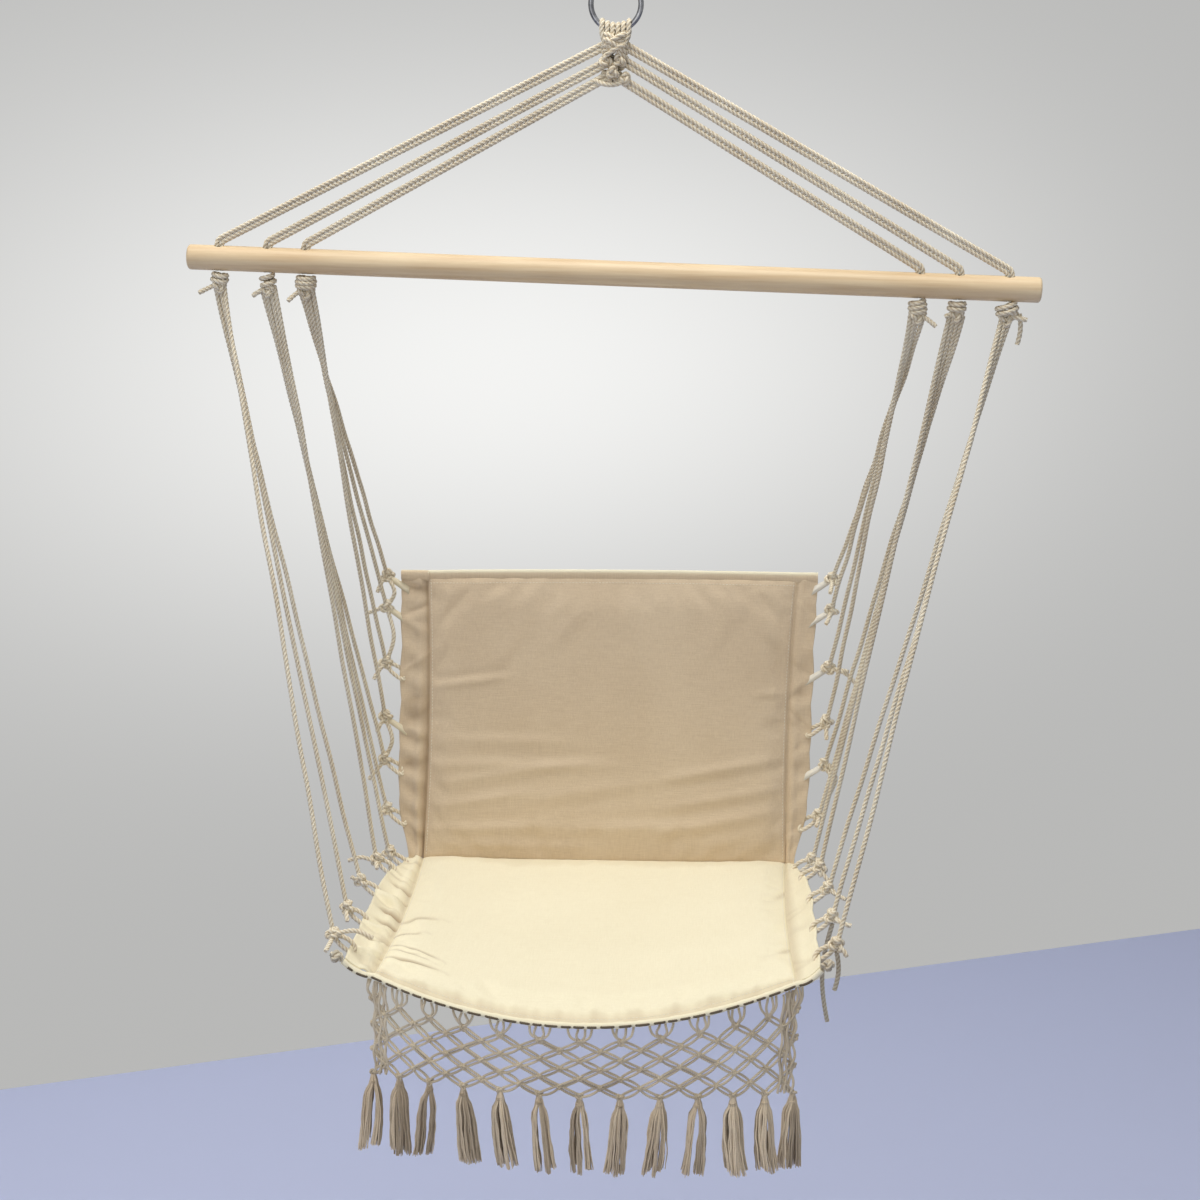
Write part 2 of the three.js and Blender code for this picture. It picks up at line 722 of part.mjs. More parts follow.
addNode('back_pad', backPad(), canvas);
addNode('seat_pad', seatPad(), canvas);
for (const side of [-1, 1]) {
  const ties = tiesOf(side);
  const backTies = ties.slice(0, backTieShares.length);
  const seatTies = ties.slice(backTieShares.length);
  const backEnd = 1 - creaseStep / backHeight;
  const backFlap = [backPoint, side, backFlapEdgeX, backTieShares, 0, backEnd];
  addNode(`back_flap_${sideName(side)}`, flapWithTapes(backTies, ...backFlap), canvas);
  const seatFlap = [seatPoint, side, seatFlapEdgeX, seatTieShares, seatFlapRise, 1];
  addNode(`seat_flap_${sideName(side)}`, flapWithTapes(seatTies, ...seatFlap), canvas);
}
addNode('back_top_hem', topHem(), canvas);
addNode('seat_front_hem', frontHem(), canvas);
for (const side of [-1, 1]) {
  addNode(`front_corner_knot_${sideName(side)}`, cornerKnot(side), cotton);
}

const rightTies = tiesOf(1);
const frontTie = rightTies[rightTies.length - 1].knot;
const nextTie = rightTies[rightTies.length - 2].knot;
addNode('loose_tail_right_long', tail(nextTie, tieKnotDiameter, longTailLength, -1), cotton);
addNode('loose_tail_right_short', tail(frontTie, tieKnotDiameter, shortTailLength, 1), cotton);
const barKnot = onBar(ropeHoleX[0], -stopperDrop);
barKnot.x += stopperKnotDiameter / 2 + cordRadius + gap - stopperKnotDiameter / 2 * grooveShare;
addNode('loose_tail_right_bar', tail(barKnot, 0, barTailLength, 1), cotton);

addNode('fringe_net', fringeNet(), cotton);
for (let place = 0; place <= netCells; place += 1) {
  const number = String(place + 1).padStart(2, '0');
  addNode(`tassel_${number}`, tassel((2 * place) / netCells - 1), yarn);
}

export default chair;
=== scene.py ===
# %% [markdown]
# # A hammock chair of canvas and cotton cord
# The real chair hangs from one steel ring. Cords run from the ring to a wooden spreader bar, and more
# cords run from the bar to the sides of a padded canvas seat. This file dresses the packed solids of
# that chair. Each step first says what the piece is, how it could be made and why it is made this way.
# All lengths are in metres, in the same frame as the solids: X along the bar, -Y to the front, Z up.

# %% The packed frame
import math
import random

import bmesh
import bpy
import numpy as np
from mathutils import Euler, Matrix, Vector
from mathutils.bvhtree import BVHTree


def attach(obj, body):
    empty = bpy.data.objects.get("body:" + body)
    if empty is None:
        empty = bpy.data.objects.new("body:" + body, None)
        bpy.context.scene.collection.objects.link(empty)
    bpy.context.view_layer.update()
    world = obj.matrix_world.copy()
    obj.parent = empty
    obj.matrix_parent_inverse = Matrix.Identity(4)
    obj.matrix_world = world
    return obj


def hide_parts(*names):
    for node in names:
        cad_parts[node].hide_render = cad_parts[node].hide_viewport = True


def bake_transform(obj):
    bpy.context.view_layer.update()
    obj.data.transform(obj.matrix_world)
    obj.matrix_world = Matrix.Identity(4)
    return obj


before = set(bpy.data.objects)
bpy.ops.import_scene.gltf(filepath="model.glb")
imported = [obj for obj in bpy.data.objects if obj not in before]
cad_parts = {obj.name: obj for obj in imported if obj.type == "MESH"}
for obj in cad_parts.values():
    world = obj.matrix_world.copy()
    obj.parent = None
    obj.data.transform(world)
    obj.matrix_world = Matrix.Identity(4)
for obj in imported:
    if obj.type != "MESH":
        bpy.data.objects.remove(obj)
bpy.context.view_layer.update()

# %% [markdown]
# ## The camera
# The photograph was taken from the height of the head knots, a little to the right of the middle and
# tipped down at the seat. A camera fitted to the ends of the bar and to the ring gives its place. It
# could be aimed with a constraint, but three directions worked out here say exactly how it stands.

# %% Camera
CAMERA_PLACE = Vector((0.115, -2.2, -0.1111))
CAMERA_YAW, CAMERA_PITCH, CAMERA_ROLL = (math.radians(a) for a in (-3.0906, -14.65, 1.2))
SENSOR_WIDTH = 36.0
PHOTO_SIZE, FOCAL_PIXELS = 1200, 1960.73
FOCAL_SHARE = FOCAL_PIXELS / PHOTO_SIZE


def aim_camera():
    forward = Vector((
        math.sin(CAMERA_YAW) * math.cos(CAMERA_PITCH),
        math.cos(CAMERA_YAW) * math.cos(CAMERA_PITCH),
        math.sin(CAMERA_PITCH),
    ))
    level = Vector((math.cos(CAMERA_YAW), -math.sin(CAMERA_YAW), 0))
    upright = level.cross(forward)
    right = math.cos(CAMERA_ROLL) * level + math.sin(CAMERA_ROLL) * upright
    up = math.cos(CAMERA_ROLL) * upright - math.sin(CAMERA_ROLL) * level
    data = bpy.data.cameras.new("photo_camera")
    data.sensor_width = SENSOR_WIDTH
    data.lens = SENSOR_WIDTH * FOCAL_SHARE
    camera = bpy.data.objects.new("photo_camera", data)
    bpy.context.scene.collection.objects.link(camera)
    turn = Matrix((right, up, -forward)).transposed().to_4x4()
    camera.matrix_world = Matrix.Translation(CAMERA_PLACE) @ turn
    bpy.context.scene.camera = camera
    return camera


print("camera lens:", round(aim_camera().data.lens, 2), "mm")

# %% [markdown]
# ## Sizes and places
# The pieces below have to lie where the solids lie, and this file can't read the part's source. So
# the sizes that the source is driven by are repeated here, with the same few rules that place a point
# on the bar, on the back and on the seat. The rules take arrays as well as numbers, which lets a whole
# grid of cloth be placed in one call.

# %% Sizes of cords, knots and bar
GAP = 0.0003
CORD = 0.0052
CORD_SEEN = 0.0058
PAIR_PITCH = CORD + GAP
RING_OUTER, RING_WIRE = 0.060, 0.006
RING_RADIUS = (RING_OUTER - RING_WIRE) / 2
RING_CENTRE_Z = -(RING_RADIUS - RING_WIRE / 2)
RING_BOTTOM_Z = RING_CENTRE_Z - RING_RADIUS
HEAD_TOP_Z = RING_BOTTOM_Z - 0.008
HEAD_ROW, HEAD_KNOT_WIDTH = 0.0175, 0.021
HEAD_SHIFTS = (0, 0.1, -0.12)
HEAD_LEAVE_DROP = 0.45
BAR_LENGTH, BAR_RADIUS, BAR_Z, BAR_ROUNDING = 0.95, 0.014, -0.311, 0.003
BAR_TILT = math.radians(0.75)
ALONG_BAR = Vector((math.cos(BAR_TILT), 0, -math.sin(BAR_TILT)))
UP_FROM_BAR = Vector((math.sin(BAR_TILT), 0, math.cos(BAR_TILT)))
HOLES = ("outer", "middle", "inner")
HOLE_X = tuple(BAR_LENGTH / 2 - inset for inset in (0.035, 0.090, 0.133))
HOLE_DIAMETER, CORD_BEND = 0.012, 0.005
STOPPER, TIE_KNOT = 0.025, 0.014
STOPPER_DROP = BAR_RADIUS + GAP + STOPPER / 2


def on_bar(x, up):
    return Vector((0, 0, BAR_Z)) + x * ALONG_BAR + up * UP_FROM_BAR


print("bar runs from", tuple(round(v, 3) for v in on_bar(-BAR_LENGTH / 2, 0)))

# %% Sizes and places of the canvas
PAD_WIDTH = 0.464
FLAP_WIDTH = {-1: 0.034, 1: 0.026}
HALF_PAD = PAD_WIDTH / 2
CANVAS_SLOPE = math.tan(math.radians(1.6))
BACK_TOP_Z, BACK_HEIGHT, BACK_LEAN, BACK_BOW, BACK_THICK = -0.708, 0.36, 0.05, 0.008, 0.015
CREASE_Z, CREASE_Y = BACK_TOP_Z - BACK_HEIGHT, 0.14
BACK_TOP_Y = CREASE_Y + BACK_LEAN
SEAT_DEPTH, FRONT_BOW, FRONT_Z, CORNER_RISE, SEAT_SAG = 0.415, 0.046, -1.088, 0.032, 0.012
FRONT_Y = CREASE_Y - SEAT_DEPTH
SEAT_THICK, PAD_EDGE, PAD_ROLL, DRAW_IN = 0.030, 0.004, 0.046, 0.005
FLAP_RISE, FLAP_RISE_SHARE, FLAP_FOLD, FLAP_SCALLOP = 0.017, 0.3, 0.004, 0.004
NARROWING, BACK_NARROW, SEAT_NARROW = 0.012, 0.24, 0.42
HEM, FRONT_HEM, HEM_CLEARANCE = 0.009, 0.007, 0.0006
BACK_TIES = (0.03, 0.14, 0.34, 0.53, 0.68, 0.86)
SEAT_TIES = (0.06, 0.22, 0.44, 0.68, 0.9)
BUNDLE_TIES = (3, 4, 4)
SIDES = ((-1, "left"), (1, "right"))
TIE_OUT, TIE_LIFT = 0.018, 0.012
print("the back ends at z", round(CREASE_Z, 3), "and the seat in front at y", round(FRONT_Y, 3))

# %% Points on the back and on the seat
def back_point(x, along, out=0.0):
    bow = BACK_BOW * np.maximum(1 - (x / HALF_PAD) ** 2, 0) * (1 - along)
    y = BACK_TOP_Y + (CREASE_Y - BACK_TOP_Y) * along + bow - out
    z = BACK_TOP_Z + (CREASE_Z - BACK_TOP_Z) * along + CANVAS_SLOPE * x
    return np.stack(np.broadcast_arrays(x, y, z), axis=-1)


def seat_point(x, along, out=0.0):
    across = np.clip(x / HALF_PAD, -1, 1)
    y = CREASE_Y + (FRONT_Y + FRONT_BOW * across**2 - CREASE_Y) * along
    level = CREASE_Z + (FRONT_Z + CORNER_RISE * across**2 - CREASE_Z) * along
    sag = SEAT_SAG * (1 - across**2) * np.sin(np.pi * along)
    return np.stack(np.broadcast_arrays(x, y, level - sag + CANVAS_SLOPE * x + out), axis=-1)


for part, point in (("back", back_point), ("seat", seat_point)):
    print("middle of the", part, point(0.0, 0.5).round(3))

# %% Edges of the flaps
def flap_edge(side, along, ties):
    """How far out a flap reaches, and how far it hangs in between two ties, 0 to 1."""
    along = np.asarray(along)
    nearest = np.min(np.abs(along[..., None] - np.array(ties)), axis=-1)
    scallop = np.sin(np.minimum(nearest * len(ties), 1) * np.pi / 2) ** 2
    from_crease = (1 - along) / BACK_NARROW if ties is BACK_TIES else along / SEAT_NARROW
    narrowing = NARROWING * np.cos(np.minimum(from_crease, 1) * np.pi / 2) ** 2
    return HALF_PAD + FLAP_WIDTH[side] - narrowing - FLAP_SCALLOP * scallop, scallop


def flap_rise(along):
    """A flap of the seat lies flat at the crease and rises towards the front."""
    return np.sin(np.minimum(np.asarray(along) / FLAP_RISE_SHARE, 1) * np.pi / 2) ** 2


def pad_half_width(along):
    return HALF_PAD - DRAW_IN * (1 - (2 * along - 1) ** 2)


print("the pads draw in by", DRAW_IN * 1000, "mm half way")

# %% Ties and the line of the front hem
def ties_of(side):
    """Where each cord takes hold of the flap's edge, and where its knot sits, from the top down."""
    edges = [back_point(side * flap_edge(side, a, BACK_TIES)[0], a) for a in BACK_TIES]
    edges += [
        seat_point(side * flap_edge(side, a, SEAT_TIES)[0], a, FLAP_RISE * flap_rise(a))
        for a in SEAT_TIES
    ]
    reach = Vector((side * TIE_OUT, 0, TIE_LIFT))
    return [(Vector(edge), Vector(edge) + reach) for edge in edges]


def front_line(x):
    """The middle of the front hem: bowed forward, and up at both flaps."""
    beyond = np.maximum(np.abs(x) - HALF_PAD, 0) / np.where(x < 0, FLAP_WIDTH[-1], FLAP_WIDTH[1])
    slope = 2 * FRONT_BOW * np.clip(x / HALF_PAD, -1, 1) / HALF_PAD
    place = seat_point(x, 1.0)
    place[..., 2] += FLAP_RISE * beyond**2
    place[..., 1] -= (FRONT_HEM / 2 + HEM_CLEARANCE) * np.hypot(1, slope)
    return place


print("ties on each side:", len(ties_of(1)))

# %% [markdown]
# ## Node trees written as Python
# A rope's twist or a weave is a formula, and a formula reads best as one. So a small class wraps an
# output socket and overloads the operators: an expression on such values adds the Math nodes for it.
# One method makes any other node. The same class serves geometry and shader trees.

# %% Sockets that take part in arithmetic
class Wire:
    """An output socket in a node tree, on which Python's operators add Math nodes."""

    def __init__(self, tree, socket=None):
        self.tree, self.socket = tree, socket

    def make(self, kind, settings=None, sockets=None, output=0):
        """Adds a node, fills its input sockets by name or number, and returns one of its outputs."""
        node = self.tree.nodes.new(kind)
        for field, value in (settings or {}).items():
            setattr(node, field, value)
        for key, value in (sockets or {}).items():
            if isinstance(key, int):
                target = node.inputs[key]
            else:
                target = next(s for s in node.inputs if s.name == key and s.enabled)
            if isinstance(value, Wire):
                self.tree.links.new(value.socket, target)
            else:
                target.default_value = value
        if isinstance(output, int):
            return Wire(self.tree, node.outputs[output])
        return Wire(self.tree, next(s for s in node.outputs if s.name == output and s.enabled))

    def math(self, operation, first, second=0.0):
        return self.make("ShaderNodeMath", {"operation": operation}, {0: first, 1: second})

    def __add__(self, other): return self.math("ADD", self, other)
    def __radd__(self, other): return self.math("ADD", other, self)
    def __sub__(self, other): return self.math("SUBTRACT", self, other)
    def __rsub__(self, other): return self.math("SUBTRACT", other, self)
    def __mul__(self, other): return self.math("MULTIPLY", self, other)
    def __rmul__(self, other): return self.math("MULTIPLY", other, self)
    def __truediv__(self, other): return self.math("DIVIDE", self, other)
    def __abs__(self): return self.math("ABSOLUTE", self)

    def cos(self): return self.math("COSINE", self)
    def sin(self): return self.math("SINE", self)

    def parts(self):
        split = self.make("ShaderNodeSeparateXYZ", sockets={"Vector": self}).socket.node
        return [Wire(self.tree, socket) for socket in split.outputs]

    def joined(self, x, y, z):
        return self.make("ShaderNodeCombineXYZ", sockets={"X": x, "Y": y, "Z": z})

    def scaled(self, factor):
        return self.make("ShaderNodeVectorMath", {"operation": "SCALE"}, {0: self, "Scale": factor})

    def stretched(self, factors):
        return self.make("ShaderNodeVectorMath", {"operation": "MULTIPLY"}, {0: self, 1: tuple(factors)})

    def stored(self, name):
        """A number that each point of the mesh carries, as a geometry tree reads it."""
        return self.make("GeometryNodeInputNamedAttribute", {"data_type": "FLOAT"}, {"Name": name})

    def painted(self, name):
        """The same kind of number, as a material reads it."""
        return self.make("ShaderNodeAttribute", {"attribute_name": name}, output="Fac")


print("operators ready:", [name for name in vars(Wire) if name.startswith("__")][2:8])

# %% Geometry trees with named inputs
class Shaper:
    """A Geometry Nodes tree under construction, with its named inputs."""

    KINDS = {float: "NodeSocketFloat", int: "NodeSocketInt"}

    def __init__(self, name, inputs):
        self.tree = bpy.data.node_groups.new(name, "GeometryNodeTree")
        face = self.tree.interface
        face.new_socket("Geometry", in_out="OUTPUT", socket_type="NodeSocketGeometry")
        face.new_socket("Geometry", in_out="INPUT", socket_type="NodeSocketGeometry")
        face.new_socket("Finish", in_out="INPUT", socket_type="NodeSocketMaterial")
        for label, value in inputs.items():
            socket = face.new_socket(label, in_out="INPUT", socket_type=self.KINDS[type(value)])
            socket.default_value = value
        self.source = self.tree.nodes.new("NodeGroupInput")
        self.start = Wire(self.tree, self.source.outputs["Geometry"])

    def given(self, label):
        return Wire(self.tree, self.source.outputs[label])

    def line(self):
        """The incoming edges as a curve."""
        return self.start.make("GeometryNodeMeshToCurve", sockets={"Mesh": self.start})

    def even_line(self):
        """The same curve, with its points at even steps."""
        line = self.line()
        sockets = {"Curve": line, "Length": self.given("Ring step")}
        return line.make("GeometryNodeResampleCurve", {"mode": "LENGTH"}, sockets)

    def swept(self, line, section, thick):
        """A section swept along a curve, closed at both ends."""
        return line.make("GeometryNodeCurveToMesh", sockets={
            "Curve": line, "Profile Curve": section, "Scale": thick, "Fill Caps": True,
        })

    def marked(self, geometry, name, value):
        """Stores one number on each point of a geometry."""
        return geometry.make(
            "GeometryNodeStoreNamedAttribute", {"data_type": "FLOAT", "domain": "POINT"},
            {"Geometry": geometry, "Name": name, "Value": value},
        )

    def close(self, geometry):
        smooth = geometry.make("GeometryNodeSetShadeSmooth", sockets={"Geometry": geometry})
        plain = smooth.make("GeometryNodeRealizeInstances", sockets={"Geometry": smooth})
        last = plain.make(
            "GeometryNodeSetMaterial", sockets={"Geometry": plain, "Material": self.given("Finish")}
        )
        sink = self.tree.nodes.new("NodeGroupOutput")
        self.tree.links.new(last.socket, sink.inputs["Geometry"])
        return self.tree


print("inputs of a tree may be", [kind.__name__ for kind in Shaper.KINDS])

# %% From a tree to a plain mesh
def shaped(name, source, tree, finish, **values):
    """Runs a tree on a mesh object and returns its result as a plain mesh object."""
    modifier = source.modifiers.new("shape", "NODES")
    modifier.node_group = tree
    for item in tree.interface.items_tree:
        if item.item_type == "SOCKET" and item.in_out == "INPUT":
            label = item.name.replace(" ", "_").lower()
            if item.name == "Finish":
                modifier[item.identifier] = finish
            elif label in values:
                modifier[item.identifier] = values[label]
    return settled(name, source)


def settled(name, source):
    """The evaluated mesh of an object as a new plain object. The old object goes away."""
    graph = bpy.context.evaluated_depsgraph_get()
    mesh = bpy.data.meshes.new_from_object(source.evaluated_get(graph), depsgraph=graph)
    bpy.data.objects.remove(source)
    mesh.name = name
    return placed(name, mesh)


print("a piece is an evaluated copy, and no modifier stays on it")

# %% Meshes, and the calls that every piece needs
def marked(mesh, name, values):
    """Stores one number on each vertex."""
    layer = mesh.attributes.new(name, "FLOAT", "POINT")
    layer.data.foreach_set("value", np.asarray(values, np.float32))


def placed(name, mesh):
    piece = bpy.data.objects.new(name, mesh)
    bpy.context.scene.collection.objects.link(piece)
    return piece


def mesh_of(name, places, faces, edges=()):
    mesh = bpy.data.meshes.new(name)
    mesh.from_pydata([tuple(place) for place in places], edges, faces)
    return mesh


def faced(mesh, material):
    """Gives a mesh its material, smooth shading and faces that point outwards."""
    work = bmesh.new()
    work.from_mesh(mesh)
    bmesh.ops.recalc_face_normals(work, faces=work.faces)
    work.to_mesh(mesh)
    work.free()
    mesh.materials.clear()
    mesh.materials.append(material)
    mesh.shade_smooth()
    return mesh


def fit(piece, body, slot, *stands_for):
    """The piece moves with its body and stands for its solids. Its slot is not used."""
    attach(piece, body)
    if stands_for:
        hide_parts(*stands_for)
    print(piece.name, len(piece.data.polygons), "faces on", body)
    return piece



# %% [markdown]
# ## Finishes
# The chair is raw cotton in four forms, pale wood and steel. A flat colour would look like plastic, so
# each finish gets the irregularity of the real one: slubs and threads in the canvas, painted shade
# between the strands of the cord, long grain in the wood. Each reads the object's own coordinates, so it
# stays on the piece in any view. Four numbers stored on the meshes steer it too: strand and tone on the
# cords, fade and shade on the cloth. Much of what they steer is painted light and shade: darker grooves,
# cords that lie in shade, the lit top of the back's hem, and a shaded band and shaded folds on the seat
# and its flaps. The back's canvas is a shaded copy of the seat's, and the ring's colour holds painted
# reflection. What varies goes only to colour and bump.

# %% Colours and the recipe that all finishes share
ROPE_LIGHT, ROPE_DARK = (0.97, 0.90, 0.72, 1), (0.54, 0.42, 0.27, 1)
NET_LIGHT, NET_DARK = (0.94, 0.83, 0.63, 1), (0.33, 0.24, 0.14, 1)
YARN_LIGHT, YARN_DARK = (0.95, 0.80, 0.58, 1), (0.40, 0.28, 0.165, 1)
IN_SHADE, IN_FOLD = (0.055, 0.036, 0.020, 1), (0.34, 0.23, 0.13, 1)
# The seat's third colour is a darker beige: painted shade, for the band behind the front hem.
SEAT_LIGHT, SEAT_DARK, SEAT_SHADED = (0.94, 0.87, 0.65, 1), (0.86, 0.78, 0.56, 1), (0.66, 0.55, 0.38, 1)
# The back's colours are the seat's canvas made darker: painted shade on the back.
BACK_LIGHT, BACK_DARK = (0.75, 0.61, 0.43, 1), (0.61, 0.47, 0.315, 1)
TAPE_LIGHT, TAPE_DARK = (0.88, 0.84, 0.74, 1), (0.72, 0.66, 0.54, 1)
WOOD_LIGHT, WOOD_DARK = (0.80, 0.64, 0.41, 1), (0.56, 0.37, 0.19, 1)
STEEL_LIGHT, STEEL_DARK = (0.46, 0.46, 0.47, 1), (0.05, 0.05, 0.055, 1)


def finish(name, roughness, paint, metallic=0.0, sheen=0.0):
    """A material. paint(start) returns its colour, its bump height in metres and the bump's reach."""
    material = bpy.data.materials.new(name)
    material.use_nodes = True
    tree = material.node_tree
    shader = tree.nodes["Principled BSDF"]
    shader.inputs["Roughness"].default_value = roughness
    shader.inputs["Metallic"].default_value = metallic
    shader.inputs["Sheen Weight"].default_value = sheen
    shader.inputs["Specular IOR Level"].default_value = 0.5 if metallic or sheen == 0 else 0.2
    colour, height = paint(Wire(tree))
    tree.links.new(colour.socket, shader.inputs["Base Color"])
    bump = colour.make("ShaderNodeBump", sockets={"Distance": 1.0, "Height": height})
    tree.links.new(bump.socket, shader.inputs["Normal"])
    return material


def object_place(start):
    return start.make("ShaderNodeTexCoord", output="Object")


def noise(place, scale, detail=2.0, roughness=0.5):
    sockets = {"Vector": place, "Scale": scale, "Detail": detail, "Roughness": roughness}
    return place.make("ShaderNodeTexNoise", sockets=sockets)


def mixed(factor, first, second):
    return factor.make(
        "ShaderNodeMix",
        {"data_type": "RGBA", "clamp_factor": True},
        {"Factor": factor, "A": first, "B": second},
        output="Result",
    )


print("finishes share one recipe")

# %% Cord, net, yarn and tape
FIBRE_DENSITY, CORD_BUMP = 700.0, 0.00012
TAPE_THREADS, TAPE_BUMP = 5200.0, 0.00004


def cord_paint(light, dark):
    """strand is high on the ridges of a cord, and the grooves are painted darker as shade. tone mixes in
    near black: painted shade where a cord lies in shade, uneven colour where it varies at random.
    """
    def paint(start):
        place = object_place(start)
        cloud = noise(place, 14.0)
        fibre = noise(place, FIBRE_DENSITY, 3.0, 0.7)
        pale = 0.12 + start.painted("strand") * 0.7 + (cloud - 0.5) * 0.8 + (fibre - 0.5) * 0.6
        return mixed(start.painted("tone"), IN_SHADE, mixed(pale, dark, light)), fibre * CORD_BUMP

    return paint


cotton = finish("cotton_cord", 0.92, cord_paint(ROPE_LIGHT, ROPE_DARK), sheen=0.25)
net_cotton = finish("net_cord", 0.94, cord_paint(NET_LIGHT, NET_DARK), sheen=0.2)
yarn = finish("tassel_yarn", 0.95, cord_paint(YARN_LIGHT, YARN_DARK), sheen=0.2)


def tape_paint(start):
    place = object_place(start)
    thread = (place.parts()[1] * TAPE_THREADS).sin()
    shade_and_wear = noise(place, 60.0)
    return mixed(shade_and_wear * 1.2 - 0.1 + thread * 0.08, TAPE_DARK, TAPE_LIGHT), thread * TAPE_BUMP


tape_cotton = finish("cotton_tape", 0.9, tape_paint, sheen=0.2)
print("cords, net, yarn and tape are", [m.name for m in (cotton, net_cotton, yarn, tape_cotton)])

# %% Canvas, with its two sets of threads
THREADS_PER_METRE = 950.0
SLUB_SCALE, SLUB_STRETCH = 900.0, 0.06
WEAVE_BUMP, SLUB_BUMPS = 0.00006, (0.00022, 0.00018)


def canvas_paint(light, dark, across, down, other):
    """The threads follow the axes across and down, 0 to 2. Where fade is 1 the other colour shows, and
    where shade is 1 the painted shade of a fold.
    """
    def paint(start):
        place = object_place(start)
        axes = place.parts()
        turn = 2 * math.pi * THREADS_PER_METRE
        weave = (axes[across] * turn).sin() * (axes[down] * turn).sin()
        slub, slub_down = (
            noise(place.stretched(SLUB_STRETCH if i == axis else 1.0 for i in range(3)), SLUB_SCALE)
            for axis in (across, down)
        )
        cloud = noise(place, 9.0, 3.0)
        pale = 0.6 + (cloud - 0.5) * 0.7 + (slub - 0.5) * 0.9 + (slub_down - 0.5) * 0.9
        height = weave * WEAVE_BUMP + slub * SLUB_BUMPS[0] + slub_down * SLUB_BUMPS[1]
        cloth = mixed(start.painted("fade"), mixed(pale + weave * 0.06, dark, light), other)
        return mixed(start.painted("shade"), cloth, IN_FOLD), height

    return paint


# On the back, fade turns the canvas to the seat's lit cream: painted light on the top of its hem. On the
# seat, fade turns it to a darker beige: painted shade behind the front hem.
back_paint = canvas_paint(BACK_LIGHT, BACK_DARK, 0, 2, SEAT_LIGHT)
seat_paint = canvas_paint(SEAT_LIGHT, SEAT_DARK, 0, 1, SEAT_SHADED)
back_canvas = finish("back_canvas", 0.9, back_paint, sheen=0.15)
seat_canvas = finish("seat_canvas", 0.9, seat_paint, sheen=0.15)
print("canvas threads a metre:", THREADS_PER_METRE)

# %% Wood and steel
GRAIN_STRETCH = (0.035, 1.0, 1.0)


def wood_paint(start):
    place = object_place(start)
    long_place = place.stretched(GRAIN_STRETCH)
    figure = noise(long_place, 150.0, 4.0, 0.6)
    pore = noise(long_place, 900.0)
    cloud = noise(place, 7.0)
    pale = 0.25 + (figure - 0.5) * 1.6 + (cloud - 0.5) * 0.7 + (pore - 0.5) * 0.35 + 0.4
    return mixed(pale, WOOD_DARK, WOOD_LIGHT), pore * 0.00008 + figure * 0.00005


def steel_paint(start):
    place = object_place(start)
    scratch = noise(place, 420.0, 4.0, 0.7)
    # The colour swings between near black and grey in soft patches: painted reflection of dark and bright
    # surroundings, with scratches mixed in.
    reflection_patches = noise(place, 90.0)
    return mixed(reflection_patches * 1.4 - 0.2 + (scratch - 0.5) * 0.5, STEEL_DARK, STEEL_LIGHT), scratch * 0.00004


wood = finish("pale_wood", 0.48, wood_paint)
steel = finish("ring_steel", 0.22, steel_paint, metallic=1.0)
print("wood and steel are ready")

# %% [markdown]
# ## Laid cord
# The cord is cotton in three strands that wind round each other. A cylinder with a twisted bump would
# look smooth at its edge. So a Geometry Nodes tree sweeps a section with three lobes along each path
# and turns it as it goes: the strands are real ridges, and the shade between them is real, deepened by
# painted shade in the grooves. A whole number of turns fits each path, so that a closed knot has no step
# where it meets itself.

# %% The tree that lays cord along paths
SECTION_POINTS = 12


def laid_cord_tree():
    shaper = Shaper("laid_cord", {
        "Diameter": CORD_SEEN, "Lay": 0.0160, "Ring step": 0.00135, "Groove": 0.26,
        "Section points": SECTION_POINTS,
    })
    line = shaper.even_line()
    run = line.make("GeometryNodeSplineLength")
    share = line.make("GeometryNodeSplineParameter")
    tilt = share * run.math("ROUND", run / shaper.given("Lay")) * (2 * math.pi)
    line = line.make("GeometryNodeSetCurveTilt", sockets={"Curve": line, "Tilt": tilt})
    circle = {"Resolution": shaper.given("Section points"), "Radius": 1.0}
    section = line.make("GeometryNodeCurvePrimitiveCircle", sockets=circle)
    place = line.make("GeometryNodeInputPosition")
    x, y, _ = place.parts()
    lobe = abs((x.math("ARCTAN2", y, x) * 1.5).cos())
    # strand is 1 on a ridge and falls to 0 in a groove; the finish paints the grooves darker with it, as
    # painted shade.
    section = shaper.marked(section, "strand", lobe)
    radius = (1 - (1 - lobe) * shaper.given("Groove")) * shaper.given("Diameter") * 0.5
    section = section.make(
        "GeometryNodeSetPosition", sockets={"Geometry": section, "Position": place.scaled(radius)}
    )
    return shaper.close(shaper.swept(line, section, line.stored("thick")))


laid_cord = laid_cord_tree()
print("laid cord tree:", len(laid_cord.nodes), "nodes")


# %% Paths as meshes of edges
def paths_object(runs):
    """runs are (points, closed, thick, tone): thick is a number or one a point, tone may be left out."""
    places, edges, thick, tones = [], [], [], []
    for points, closed, width, *tone in runs:
        first, count = len(places), len(points)
        places.extend(points)
        edges.extend((first + i, first + i + 1) for i in range(count - 1))
        if closed:
            edges.append((first + count - 1, first))
        thick.extend(np.broadcast_to(width, count))
        tones.extend([tone[0] if tone else 1.0] * count)
    mesh = mesh_of("paths", places, [], edges)
    marked(mesh, "thick", thick)
    marked(mesh, "tone", tones)
    return placed("paths", mesh)


def cord_piece(name, runs, material=None, **sizes):
    return shaped(name, paths_object(runs), laid_cord, material or cotton, **sizes)


